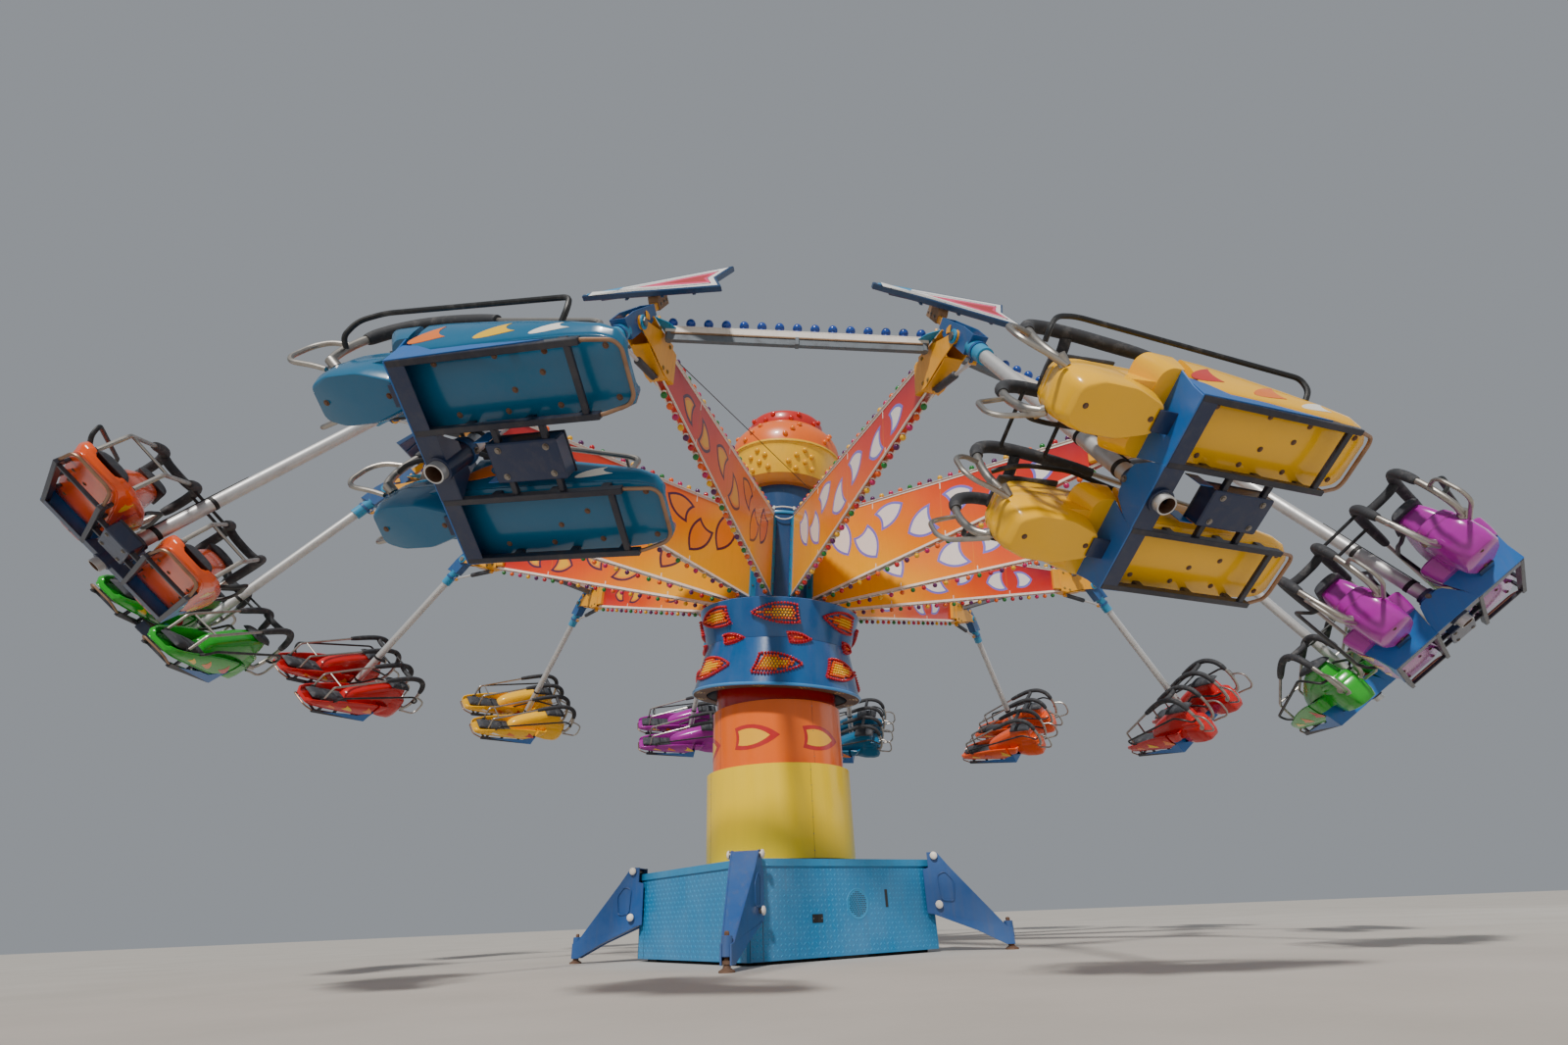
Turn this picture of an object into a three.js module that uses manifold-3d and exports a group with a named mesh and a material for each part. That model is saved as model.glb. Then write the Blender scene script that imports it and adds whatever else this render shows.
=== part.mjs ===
// Suspended flying swing ride: telescopic mast, leaning rotor head, twelve sweeps,
// twelve swinging pendulums and a two-pod gondola on each. Millimetres, +Z up, front face -Y.
import * as THREE from 'three';
import Module from 'manifold-3d';
import { mergeVertices } from 'three/addons/utils/BufferGeometryUtils.js';

const wasm = await Module();
wasm.setup();

const GAP = 0.3;
const WELD = 0.02;
const ARMS = 12;
const FIRST_AZ = -17.37;
const DEG = Math.PI / 180;

// lean of the rotor head about the X axis
const LEAN = 7.22 * DEG;
const LEAN_Z = 2480;
const LEAN_PIN_R = 45;
const LEAN_PIN_SIDES = 16;
const PIN_GAP = 0.06;

// base
const BASE_HALF = 1085;
const LIP_HALF = 1098.7;
const BASE_TOP = 803.8;
const LIP_HIGH = 80;
const BASE_WALL = 30;
const BASE_CLEAR = 26;
const MIDDLE_R = 330;
const INNER_R = 292;
const SLIDE_GAP = 0.4;
const CORNER_CUT = 120;
const FOOT_RADIUS = 2200;
const ARM_TOP = 868;

// telescopic sleeves
const YELLOW_R = 780;
const YELLOW_TOP = 1721;
const ORANGE_R = 716;
const ORANGE_TOP = 2382;
const RED_R = 677;
const RED_TOP = 2720;
const SLEEVE_WALL = 12;
const SLEEVE_SIDES = 28;

// rotor head, heights measured before the lean
const RIM_R = 961;
const RIM_Z = 2561;
const RIM_WIDE = 92;
const WAIST_R = 834;
const WAIST_Z = 3098;
const DRUM_R = 943;
const DRUM_TOP = 3519;
const DRUM_WALL = 14;
const DRUM_CEIL = 3190;
const TABLE_R = 560;
const COLUMN_R = 457;
const CLAMP_Z = 4690;
const CLAMP_R = 475;
const BOWL_Z = 5075;
const BOWL_BOTTOM_R = 553;
const FLANGE_R = 685;
const FLANGE_Z = 5555;
const DOME_R = 701;
const CAP_Z = 5951;
const DOME_TOP_R = 500;
const CAP_R = 484;
const CROWN_TOP = 6142;
const CAP_TOP_R = 444;
const ROUND = 36;

// sweeps
const ROOT_R = 547;
const ROOT_LOW = 3644;
const ROOT_HIGH = 4661;
const TIP_R = 3974;
const TIP_LOW = 4314;
const TIP_HIGH = 4636;
const PLATE_HALF = 22;
const EDGE_HALF = 38;
const EDGE_THICK = 12;
const EAR_IN = 70;
const EAR_OUT = 88;
const PIVOT_R = 4500;
const PIVOT_Z = 4454.7;
const PIN_R = 26;
const PIN_SIDES = 12;
const TIE_R = 4190;
const TIE_HALF = 28;
const TIE_LOW = 4532;
const TIE_HIGH = 4648;

// pendulums
const SWING_OUT = 38.69 * DEG;
const TUBE_R = 45;
const TUBE_END = -2434;
const TUBE_SIDES = 8;
const KITE_X = 102;
const KITE_THICK = 38;

// gondolas, in the pendulum's frame
const POD_X = 315;
const RAIL_X = 150;
const RAIL_Z = -2385;
const TRAY_Z = -2297;
const BEAM_TOP = -2190;
const BAR_R = 26;

function solidOf(geometry) {
  geometry.deleteAttribute('normal');
  geometry.deleteAttribute('uv');
  const merged = mergeVertices(geometry, 1e-3);
  return new wasm.Manifold(new wasm.Mesh({
    numProp: 3,
    vertProperties: new Float32Array(merged.attributes.position.array),
    triVerts: new Uint32Array(merged.index.array),
  }));
}

function fuse(solids) {
  return solids.reduce((whole, piece) => whole.add(piece));
}

function meshOf(name, solid, material) {
  const data = solid.asOriginal().simplify(WELD).getMesh();
  const geometry = new THREE.BufferGeometry();
  const points = new Float32Array((data.vertProperties.length / data.numProp) * 3);
  for (let i = 0; i < points.length / 3; i += 1) {
    for (let j = 0; j < 3; j += 1) {
      points[3 * i + j] = data.vertProperties[i * data.numProp + j];
    }
  }
  geometry.setAttribute('position', new THREE.BufferAttribute(points, 3));
  geometry.setIndex(new THREE.BufferAttribute(new Uint32Array(data.triVerts), 1));
  geometry.computeVertexNormals();
  const mesh = new THREE.Mesh(geometry, material);
  mesh.name = name;
  return mesh;
}

function paint(colour, roughness, metalness) {
  return new THREE.MeshStandardMaterial({ color: colour, roughness, metalness });
}

function block(x0, x1, y0, y1, z0, z1) {
  const geometry = new THREE.BoxGeometry(x1 - x0, y1 - y0, z1 - z0);
  geometry.translate((x0 + x1) / 2, (y0 + y1) / 2, (z0 + z1) / 2);
  return solidOf(geometry);
}

// outline given as [a, b] pairs, run from low to high along the third axis
function prism(outline, axis, low, high) {
  const shape = new THREE.Shape(outline.map(([a, b]) => new THREE.Vector2(a, b)));
  const geometry = new THREE.ExtrudeGeometry(shape, { depth: high - low, bevelEnabled: false });
  geometry.translate(0, 0, low);
  const turn = new THREE.Matrix4();
  if (axis === 'x') {
    turn.set(0, 0, 1, 0, 1, 0, 0, 0, 0, 1, 0, 0, 0, 0, 0, 1);
  }
  if (axis === 'y') {
    turn.set(1, 0, 0, 0, 0, 0, -1, low + high, 0, 1, 0, 0, 0, 0, 0, 1);
  }
  geometry.applyMatrix4(turn);
  return solidOf(geometry);
}

// circle radius of a many-sided hole that a round pin turns in
function boreRadius(pinRadius, sides) {
  return (pinRadius + PIN_GAP) / Math.cos(Math.PI / sides);
}

function rod(from, to, radius, sides, phase = 0) {
  const a = new THREE.Vector3(...from);
  const b = new THREE.Vector3(...to);
  const along = b.clone().sub(a);
  const geometry = new THREE.CylinderGeometry(radius, radius, along.length(), sides);
  geometry.rotateY(phase);
  const turn = new THREE.Quaternion();
  turn.setFromUnitVectors(new THREE.Vector3(0, 1, 0), along.clone().normalize());
  geometry.applyQuaternion(turn);
  const middle = a.add(b).multiplyScalar(0.5);
  geometry.translate(middle.x, middle.y, middle.z);
  return solidOf(geometry);
}

// profile of [radius, height] pairs turned about Z, with a facet facing azimuth turnDeg
function turned(profile, sides, turnDeg = 0) {
  const points = profile.map(([r, z]) => new THREE.Vector2(r, z));
  const geometry = new THREE.LatheGeometry(points, sides);
  geometry.rotateX(Math.PI / 2);
  geometry.rotateZ((turnDeg - 90 + 180 / sides) * DEG);
  return solidOf(geometry);
}

// tube along a bent line, one flat-sided ring at each bend; sides counts its faces
function bentTube(points, radius, sides) {
  const spots = points.map((p) => new THREE.Vector3(...p));
  const rings = spots.map((spot, i) => {
    const before = spots[Math.max(i - 1, 0)];
    const after = spots[Math.min(i + 1, spots.length - 1)];
    const along = after.clone().sub(before).normalize();
    const side = new THREE.Vector3(1, 0, 0).addScaledVector(along, -along.x).normalize();
    const up = along.clone().cross(side);
    const ring = [];
    for (let j = 0; j < sides; j += 1) {
      const angle = ((j + 0.5) / sides) * 2 * Math.PI;
      const corner = spot.clone();
      corner.addScaledVector(side, Math.cos(angle) * radius);
      corner.addScaledVector(up, Math.sin(angle) * radius);
      ring.push([corner.x, corner.y, corner.z]);
    }
    return ring;
  });
  return loft(rings);
}

// rings of points joined in order and capped at both ends
function loft(rings) {
  const count = rings[0].length;
  const points = rings.flat(2);
  const faces = [];
  for (let i = 0; i < rings.length - 1; i += 1) {
    for (let j = 0; j < count; j += 1) {
      const a = i * count + j;
      const b = i * count + ((j + 1) % count);
      faces.push(a, b, b + count, a, b + count, a + count);
    }
  }
  const last = (rings.length - 1) * count;
  for (let j = 1; j < count - 1; j += 1) {
    faces.push(0, j + 1, j);
    faces.push(last, last + j, last + j + 1);
  }
  const geometry = new THREE.BufferGeometry();
  geometry.setAttribute('position', new THREE.Float32BufferAttribute(points, 3));
  geometry.setIndex(faces);
  const solid = solidOf(geometry);
  if (solid.volume() > 0) {
    return solid;
  }
  const flipped = geometry.clone();
  flipped.setIndex(faces.slice().reverse());
  return solidOf(flipped);
}

function octagonPlan(half, cut) {
  const c = half - cut;
  return [[-c, -half], [c, -half], [half, -c], [half, c], [c, half], [-c, half], [-half, c], [-half, -c]];
}

function baseHousing(material) {
  const body = prism(octagonPlan(BASE_HALF, CORNER_CUT), 'z', BASE_CLEAR, BASE_TOP - 1);
  const lip = prism(octagonPlan(LIP_HALF, CORNER_CUT + 8), 'z', BASE_TOP - LIP_HIGH, BASE_TOP);
  const inside = prism(octagonPlan(BASE_HALF - BASE_WALL, CORNER_CUT), 'z', 0, BASE_TOP - LIP_HIGH);
  const shaftR = MIDDLE_R + SLIDE_GAP;
  const shaft = turned([[0, 0], [shaftR, 0], [shaftR, BASE_TOP + 10], [0, BASE_TOP + 10]], SLEEVE_SIDES);
  const shell = fuse([body, lip]).subtract(inside).subtract(shaft);
  return meshOf('base_housing', shell, material);
}

function baseUnderframe(material) {
  const half = BASE_HALF - BASE_WALL - GAP;
  const runner = 160;
  const high = 120;
  const parts = [
    block(-half, half, -half + 200, -half + 200 + runner, 0, high),
    block(-half, half, half - 200 - runner, half - 200, 0, high),
    block(-220, 220, -half, half, 0, 60),
    block(-half + 60, half - 60, -half + 60, -half + 200, 0, 60),
    block(-half + 60, half - 60, half - 200, half - 60, 0, 60),
  ];
  return meshOf('base_underframe', fuse(parts), material);
}

function outrigger(name, azimuth, material) {
  const root = BASE_HALF * Math.SQRT2 - CORNER_CUT / Math.SQRT2 + GAP;
  const lip = LIP_HALF * Math.SQRT2 - (CORNER_CUT + 8) / Math.SQRT2 + 6;
  const tip = FOOT_RADIUS;
  const side = [
    [root, 330], [root + 60, 318], [1905, 168], [tip - 44, 46], [tip + 34, 46], [tip + 34, 182],
    [tip - 20, 196], [1720, 716], [1610, ARM_TOP - 14], [1590, ARM_TOP], [lip, ARM_TOP],
    [lip, BASE_TOP - LIP_HIGH - 12], [root, BASE_TOP - LIP_HIGH - 12],
  ];
  const plan = [[root - 10, -132], [1660, -126], [tip + 50, -46], [tip + 50, 46], [1660, 126], [root - 10, 132]];
  const arm = prism(side, 'y', -140, 140).intersect(prism(plan, 'z', 0, 1000));
  const hollow = prism([[1590, 420], [1760, 350], [2050, 210], [1700, 600], [1590, 700]], 'y', 40, 200);
  const parts = [
    arm.subtract(hollow).subtract(hollow.mirror([0, 1, 0])),
    turned([[0, 0], [62, 0], [62, 16], [30, 44], [30, 250], [0, 250]], 10).translate([tip, 0, 0]),
    rod([1572, -150, 832], [1572, 150, 832], 26, 8),
    rod([1575, -150, 400], [1575, 150, 400], 26, 8),
  ];
  const mesh = meshOf(name, fuse(parts), material);
  mesh.rotation.z = (azimuth - 90) * DEG;
  return mesh;
}

function yellowSleeve(material) {
  const inner = YELLOW_R - SLEEVE_WALL;
  const low = BASE_TOP + GAP;
  const profile = [
    [inner - 14, low], [YELLOW_R - 22, low], [YELLOW_R - 22, low + 30], [YELLOW_R, low + 30],
    [YELLOW_R, YELLOW_TOP], [inner, YELLOW_TOP], [inner, low + 60], [inner - 14, low],
  ];
  return meshOf('yellow_sleeve', turned(profile, SLEEVE_SIDES), material);
}

function orangeSleeve(material) {
  const inner = ORANGE_R - SLEEVE_WALL;
  const bore = INNER_R + SLIDE_GAP;
  const profile = [
    [bore, 700], [MIDDLE_R, 700], [MIDDLE_R, 1450], [ORANGE_R, 1450], [ORANGE_R, ORANGE_TOP], [inner, ORANGE_TOP],
    [inner, 1464], [bore, 1464], [bore, 700],
  ];
  return meshOf('orange_sleeve', turned(profile, SLEEVE_SIDES), material);
}

function redSleeve(material) {
  const inner = RED_R - SLEEVE_WALL;
  const profile = [
    [262, 1350], [INNER_R, 1350], [INNER_R, 2100], [RED_R, 2100], [RED_R, RED_TOP], [inner, RED_TOP],
    [inner, 2114], [INNER_R, 2114], [INNER_R, 2390], [0, 2390], [0, 2350], [262, 2350], [262, 1350],
  ];
  const wall = turned(profile, SLEEVE_SIDES);
  const lug = (x) => prism(
    [[-110, 2350], [110, 2350], [70, 2540], [-70, 2540]], 'x', x - 30, x + 30,
  );
  const boreR = boreRadius(LEAN_PIN_R, LEAN_PIN_SIDES);
  const hole = rod([-400, 0, LEAN_Z], [400, 0, LEAN_Z], boreR, LEAN_PIN_SIDES, Math.PI / LEAN_PIN_SIDES);
  const solid = fuse([wall, lug(-195), lug(195)]).subtract(hole);
  return meshOf('red_sleeve', solid, material);
}

function tiltHead(material) {
  const table = turned([
    [0, DRUM_CEIL - 90], [TABLE_R, DRUM_CEIL - 90], [TABLE_R, DRUM_CEIL - GAP], [0, DRUM_CEIL - GAP],
  ], 24);
  const neck = turned([
    [0, 2620], [190, 2620], [330, DRUM_CEIL - 80], [0, DRUM_CEIL - 80],
  ], 16);
  const tongue = block(-158, 158, -80, 80, LEAN_Z - 60, 2660);
  const pin = rod([-300, 0, LEAN_Z], [300, 0, LEAN_Z], LEAN_PIN_R, LEAN_PIN_SIDES);
  return meshOf('tilt_head', fuse([table, neck, tongue, pin]), material);
}

// flared lower half of the collar, open below around the sleeves
function hubSkirt(material) {
  const profile = [
    [RIM_R - RIM_WIDE, RIM_Z], [RIM_R, RIM_Z], [RIM_R + 8, RIM_Z + 22], [RIM_R, RIM_Z + 44],
    [RIM_R - 12, RIM_Z + 44], [WAIST_R, WAIST_Z], [WAIST_R - DRUM_WALL, WAIST_Z],
    [RIM_R - RIM_WIDE, RIM_Z + 14], [RIM_R - RIM_WIDE, RIM_Z],
  ];
  return meshOf('hub_skirt', turned(profile, ROUND, FIRST_AZ), material);
}

function hubDrum(material) {
  const low = WAIST_Z + GAP;
  const profile = [
    [0, DRUM_CEIL], [TABLE_R + 60, DRUM_CEIL], [TABLE_R + 60, low], [WAIST_R, low],
    [DRUM_R, DRUM_TOP - 16], [DRUM_R - 16, DRUM_TOP], [0, DRUM_TOP],
  ];
  return meshOf('hub_drum', turned(profile, ROUND, FIRST_AZ), material);
}

function hubColumn(material) {
  const low = DRUM_TOP + GAP;
  const profile = [
    [0, low], [COLUMN_R, low], [COLUMN_R, CLAMP_Z], [CLAMP_R, CLAMP_Z], [CLAMP_R, CLAMP_Z + 36],
    [COLUMN_R, CLAMP_Z + 36], [COLUMN_R, BOWL_Z], [0, BOWL_Z],
  ];
  return meshOf('hub_column', turned(profile, ROUND, FIRST_AZ), material);
}

function crownBowl(material) {
  const low = BOWL_Z + GAP;
  const profile = [
    [0, low], [BOWL_BOTTOM_R, low], [600, 5166], [648, 5330], [676, 5480],
    [FLANGE_R, FLANGE_Z - 20], [FLANGE_R + 16, FLANGE_Z - 10], [FLANGE_R + 16, FLANGE_Z], [0, FLANGE_Z],
  ];
  return meshOf('crown_bowl', turned(profile, ROUND, FIRST_AZ), material);
}

function crownDome(material) {
  const low = FLANGE_Z + GAP;
  const profile = [
    [0, low], [DOME_R + 6, low], [DOME_R, low + 24], [690, 5690], [640, 5800], [560, 5900],
    [DOME_TOP_R, CAP_Z], [0, CAP_Z],
  ];
  return meshOf('crown_dome', turned(profile, ROUND, FIRST_AZ), material);
}

function crownCap(material) {
  const low = CAP_Z + GAP;
  const profile = [
    [0, low], [CAP_R, low], [CAP_R - 6, 6080], [CAP_TOP_R + 14, CROWN_TOP - 22],
    [CAP_TOP_R - 30, CROWN_TOP], [0, CROWN_TOP + 14],
  ];
  return meshOf('crown_cap', turned(profile, ROUND, FIRST_AZ), material);
}

// edge strip of a sweep between two [radius, height] points, on the side given by up
function edgeStrip(a, b, up) {
  const [ax, az] = a;
  const [bx, bz] = b;
  const length = Math.hypot(bx - ax, bz - az);
  const nx = (-(bz - az) / length) * EDGE_THICK * up;
  const nz = ((bx - ax) / length) * EDGE_THICK * up;
  return prism([[ax, az], [bx, bz], [bx - nx, bz - nz], [ax - nx, az - nz]], 'y', -EDGE_HALF, EDGE_HALF);
}

function tieBeam() {
  const next = 30 * DEG;
  const far = [TIE_R * Math.cos(next), TIE_R * Math.sin(next)];
  const along = Math.atan2(far[1], far[0] - TIE_R);
  const side = [Math.sin(along) * TIE_HALF, -Math.cos(along) * TIE_HALF];
  const nearEnd = (s) => {
    const t = (EAR_OUT - 8 - side[1] * s) / Math.sin(along);
    return [TIE_R + side[0] * s + Math.cos(along) * t, EAR_OUT - 8];
  };
  const farEnd = (s) => {
    const offset = EAR_OUT + GAP;
    const normal = [Math.sin(next), -Math.cos(next)];
    const start = [TIE_R + side[0] * s, side[1] * s];
    const depth = start[0] * normal[0] + start[1] * normal[1];
    const speed = Math.cos(along) * normal[0] + Math.sin(along) * normal[1];
    const t = (offset - depth) / speed;
    return [start[0] + Math.cos(along) * t, start[1] + Math.sin(along) * t];
  };
  return prism([nearEnd(1), farEnd(1), farEnd(-1), nearEnd(-1)], 'z', TIE_LOW, TIE_HIGH);
}

function sweep(name, azimuth, material) {
  const facet = COLUMN_R * Math.cos(Math.PI / ROUND) + GAP;
  const plate = prism([[ROOT_R - 10, ROOT_LOW], [TIP_R, TIP_LOW], [TIP_R, TIP_HIGH], [ROOT_R - 10, ROOT_HIGH]],
    'y', -PLATE_HALF, PLATE_HALF);
  const root = block(facet, ROOT_R, -27, 27, ROOT_LOW, ROOT_HIGH);
  const top = edgeStrip([ROOT_R, ROOT_HIGH], [TIP_R, TIP_HIGH], 1);
  const bottom = edgeStrip([ROOT_R, ROOT_LOW], [TIP_R, TIP_LOW], -1);
  const ear = (y0, y1) => prism([
    [TIP_R - 120, TIP_LOW + 6], [TIP_R + 30, 4292], [4080, 4292], [4440, 4392],
    [4550, 4420], [4550, 4500], [4430, 4590], [4330, 4640], [TIP_R - 120, TIP_HIGH - 6],
  ], 'y', y0, y1);
  const cheek = block(TIP_R - 110, TIP_R - 12, -EAR_IN - 4, EAR_IN + 4, TIP_LOW + 24, TIP_HIGH - 20);
  const phase = Math.PI / PIN_SIDES - SWING_OUT;
  const boreR = boreRadius(PIN_R, PIN_SIDES);
  const bore = rod([PIVOT_R, -200, PIVOT_Z], [PIVOT_R, 200, PIVOT_Z], boreR, PIN_SIDES, phase);
  const ears = fuse([ear(-EAR_OUT, -EAR_IN), ear(EAR_IN, EAR_OUT)]).subtract(bore);
  const solid = fuse([plate, root, top, bottom, cheek, ears, tieBeam()]);
  const mesh = meshOf(name, solid, material);
  mesh.rotation.z = (azimuth - 90) * DEG;
  return mesh;
}

function kiteSolid() {
  const outline = [
    [-583, 530], [-583, 564], [592, 768], [500, 546], [592, 324],
  ];
  return prism(outline, 'x', KITE_X, KITE_X + KITE_THICK);
}

function pendulum(name, material) {
  const tube = turned([
    [0, -380], [TUBE_R, -380], [TUBE_R, TUBE_END], [TUBE_R - 7, TUBE_END], [TUBE_R - 7, TUBE_END + 90],
    [0, TUBE_END + 90],
  ].reverse(), TUBE_SIDES, 90);
  const sleeve = rod([0, 0, -405], [0, 0, -180], 60, TUBE_SIDES);
  const head = prism([
    [-62, -200], [92, -243], [96, -60], [50, 336], [-30, 336], [-62, 200],
  ], 'y', -58, 58);
  const pocket = block(40, 200, -44, 44, -180, 290);
  const pin = rod([0, -104, 0], [0, 104, 0], PIN_R, PIN_SIDES);
  const mount = prism([[-30, 300], [40, 300], [44, 470], [KITE_X + 4, 480], [KITE_X + 4, 690], [-30, 690]],
    'y', -42, 42);
  const lug = block(-110, -40, -16, 16, -300, -238);
  const barrel = rod([-436, 0, 134], [-220, 0, -104], 30, 8);
  const piston = rod([-232, 0, -90], [-76, 0, -262], 15, 6);
  const solid = fuse([
    tube, sleeve, head.subtract(pocket), pin, mount, kiteSolid(), lug, barrel, piston,
  ]);
  return meshOf(name, solid, material);
}

// one pod: rings from the nose over the waist and the tray back to the tail
function pod(x) {
  const stations = [
    [-612, 62, 52, -2236, -2160],
    [-560, 112, 92, -2286, -2064],
    [-430, 128, 110, TRAY_Z, -1996],
    [-262, 122, 110, TRAY_Z, -2060],
    [-214, 226, 172, TRAY_Z, -2092],
    [380, 208, 172, TRAY_Z, -2150],
    [862, 176, 166, TRAY_Z, -2222],
    [925, 116, 104, TRAY_Z, -2236],
  ];
  const rings = stations.map(([y, rim, keel, low, high]) => [
    [x - keel, y, low], [x + keel, y, low], [x + rim, y, high - 22],
    [x + rim - 18, y, high], [x - rim + 18, y, high], [x - rim, y, high - 22],
  ]);
  return loft(rings);
}

// raised chest saddle in the front of a tray
function saddle(x) {
  const rings = [
    [-440, 96, 70, -2010], [-385, 112, 84, -1838], [-250, 118, 88, -1850], [330, 96, 64, -2060],
  ].map(([y, foot, crest, top]) => [
    [x - foot, y, -2200], [x + foot, y, -2200], [x + crest, y, top], [x - crest, y, top],
  ]);
  return loft(rings);
}

// restraint bar: tube from the tray's tail, padded arch and the loop in front of the nose
function restraint(x, side) {
  const at = (offset, y, z) => [x + side * offset, y, z];
  return bentTube([
    at(132, 740, -2230), at(132, 700, -2020), at(150, -120, -1680), at(150, -420, -1628),
    at(150, -738, -1950), at(150, -764, -2096), at(96, -560, -2150),
  ], BAR_R, 4);
}

// rails under each tray, the cross beam and the bars of the centre box as one flat frame
function railFrame() {
  const half = 14;
  const inner = POD_X - RAIL_X;
  const outer = POD_X + RAIL_X;
  const outline = [
    [-outer - half, -60], [outer + half, -60], [outer + half, 800], [outer - half, 800], [outer - half, 0],
    [inner + half, 0], [inner + half, 800], [inner - half, 800], [inner - half, 0],
    [-inner + half, 0], [-inner + half, 800], [-inner - half, 800], [-inner - half, 0],
    [-outer + half, 0], [-outer + half, 800], [-outer - half, 800],
  ];
  return prism(outline, 'z', RAIL_Z, TRAY_Z + 6);
}

function gondola(name, material) {
  const plates = [-POD_X, POD_X].map((x) => prism([
    [x - 160, TRAY_Z - 20], [x + 160, TRAY_Z - 20], [x + 214, -2176], [x - 214, -2176],
  ], 'y', -56, -26));
  const socket = block(-70, 70, -66, 66, RAIL_Z + 6, BEAM_TOP);
  const box = block(-RAIL_X - 20, RAIL_X + 20, 353, 586, RAIL_Z + 12, -2310);
  const bore = turned([[0, -2600], [TUBE_R + GAP, -2600], [TUBE_R + GAP, -2000], [0, -2000]], TUBE_SIDES, 90);
  const pods = [-POD_X, POD_X].flatMap((x) => [pod(x), saddle(x), restraint(x, -1), restraint(x, 1)]);
  const solid = fuse([...pods, railFrame(), ...plates, socket, box]).subtract(bore);
  return meshOf(name, solid, material);
}

const GONDOLA_COLOURS = [
  ['blue', 0x1769c8], ['orange', 0xf07d16], ['green', 0x2fa544], ['red', 0xcf2026], ['yellow', 0xf2c41b],
  ['magenta', 0x9c2f8e], ['blue', 0x1769c8], ['orange', 0xf07d16], ['red', 0xcf2026], ['green', 0x2fa544],
  ['magenta', 0x9c2f8e], ['yellow', 0xf2c41b],
];

function armAzimuth(number) {
  return number <= 6 ? FIRST_AZ - 30 * number : FIRST_AZ + 30 * (ARMS - number);
}

function build() {
  const blue = paint(0x1b6fb8, 0.42, 0.1);
  const deepBlue = paint(0x0f4f95, 0.35, 0.1);
  const dark = paint(0x2a2d30, 0.7, 0.3);
  const yellow = paint(0xf4c413, 0.38, 0.05);
  const orange = paint(0xee7a15, 0.35, 0.05);
  const red = paint(0xc8211f, 0.3, 0.05);
  const steel = paint(0x9aa1a6, 0.45, 0.8);
  const silver = paint(0xb9bfc4, 0.35, 0.9);
  const tower = new THREE.Group();
  tower.name = 'flying_swing_ride';
  tower.add(baseHousing(blue), baseUnderframe(dark));
  [-45, 45, 135, -135].forEach((azimuth, i) => {
    tower.add(outrigger(`outrigger_${i + 1}`, azimuth, blue));
  });
  tower.add(yellowSleeve(yellow), orangeSleeve(orange), redSleeve(red));
  const lean = new THREE.Group();
  lean.position.z = LEAN_Z;
  lean.rotation.x = LEAN;
  const rotor = new THREE.Group();
  rotor.position.z = -LEAN_Z;
  rotor.add(tiltHead(steel), hubSkirt(blue), hubDrum(blue), hubColumn(deepBlue));
  rotor.add(crownBowl(yellow), crownDome(orange), crownCap(red));
  for (let number = 1; number <= ARMS; number += 1) {
    const tag = String(number).padStart(2, '0');
    const azimuth = armAzimuth(number);
    rotor.add(sweep(`sweep_${tag}`, azimuth, orange));
    const swing = new THREE.Group();
    swing.position.set(PIVOT_R, 0, PIVOT_Z);
    swing.rotation.y = -SWING_OUT;
    const podPaint = paint(GONDOLA_COLOURS[number - 1][1], 0.25, 0.05);
    swing.add(pendulum(`pendulum_${tag}`, silver), gondola(`gondola_${tag}`, podPaint));
    const station = new THREE.Group();
    station.rotation.z = (azimuth - 90) * DEG;
    station.add(swing);
    rotor.add(station);
  }
  lean.add(rotor);
  tower.add(lean);
  return tower;
}

export default build();
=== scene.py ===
import math
import random

import bmesh
import bpy
from mathutils import Matrix, Vector
from mathutils.geometry import tessellate_polygon


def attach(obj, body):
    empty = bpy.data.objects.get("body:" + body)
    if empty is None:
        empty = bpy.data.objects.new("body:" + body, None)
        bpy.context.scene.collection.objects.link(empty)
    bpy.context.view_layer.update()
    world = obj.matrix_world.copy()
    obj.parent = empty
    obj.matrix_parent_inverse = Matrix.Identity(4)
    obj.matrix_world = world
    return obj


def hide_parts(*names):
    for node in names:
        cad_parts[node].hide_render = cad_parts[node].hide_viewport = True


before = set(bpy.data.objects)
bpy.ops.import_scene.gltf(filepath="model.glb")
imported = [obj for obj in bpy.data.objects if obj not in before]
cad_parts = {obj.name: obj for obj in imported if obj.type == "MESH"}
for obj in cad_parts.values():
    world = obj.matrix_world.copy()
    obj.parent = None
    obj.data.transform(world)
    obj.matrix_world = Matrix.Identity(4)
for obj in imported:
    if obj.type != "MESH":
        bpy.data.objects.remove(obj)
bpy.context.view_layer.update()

# Driving dimensions, the same as in the part's source
ARMS = 12
FIRST_AZIMUTH = -17.37
LEAN = math.radians(7.22)
LEAN_Z = 2.480
SWING_OUT = math.radians(38.69)
PIVOT_R = 4.500
PIVOT_Z = 4.4547
POD_X = 0.315

GONDOLA_COLOURS = (
    "blue", "orange", "green", "red", "yellow", "magenta",
    "blue", "orange", "red", "green", "magenta", "yellow",
)
LAMP_COLOURS = ("purple", "yellow", "magenta", "orange", "green", "red")


# Places and turns

def turn(degrees, axis):
    return Matrix.Rotation(math.radians(degrees), 4, axis)


def shift(x, y, z):
    return Matrix.Translation((x, y, z))


ROTOR = shift(0, 0, LEAN_Z) @ Matrix.Rotation(LEAN, 4, "X") @ shift(0, 0, -LEAN_Z)


def azimuth(number):
    return FIRST_AZIMUTH - 30 * number if number <= 6 else FIRST_AZIMUTH + 30 * (ARMS - number)


def arm_place(number):
    return ROTOR @ turn(azimuth(number) - 90, "Z")


def swing_place(number):
    return arm_place(number) @ shift(PIVOT_R, 0, PIVOT_Z) @ Matrix.Rotation(-SWING_OUT, 4, "Y")


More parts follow.
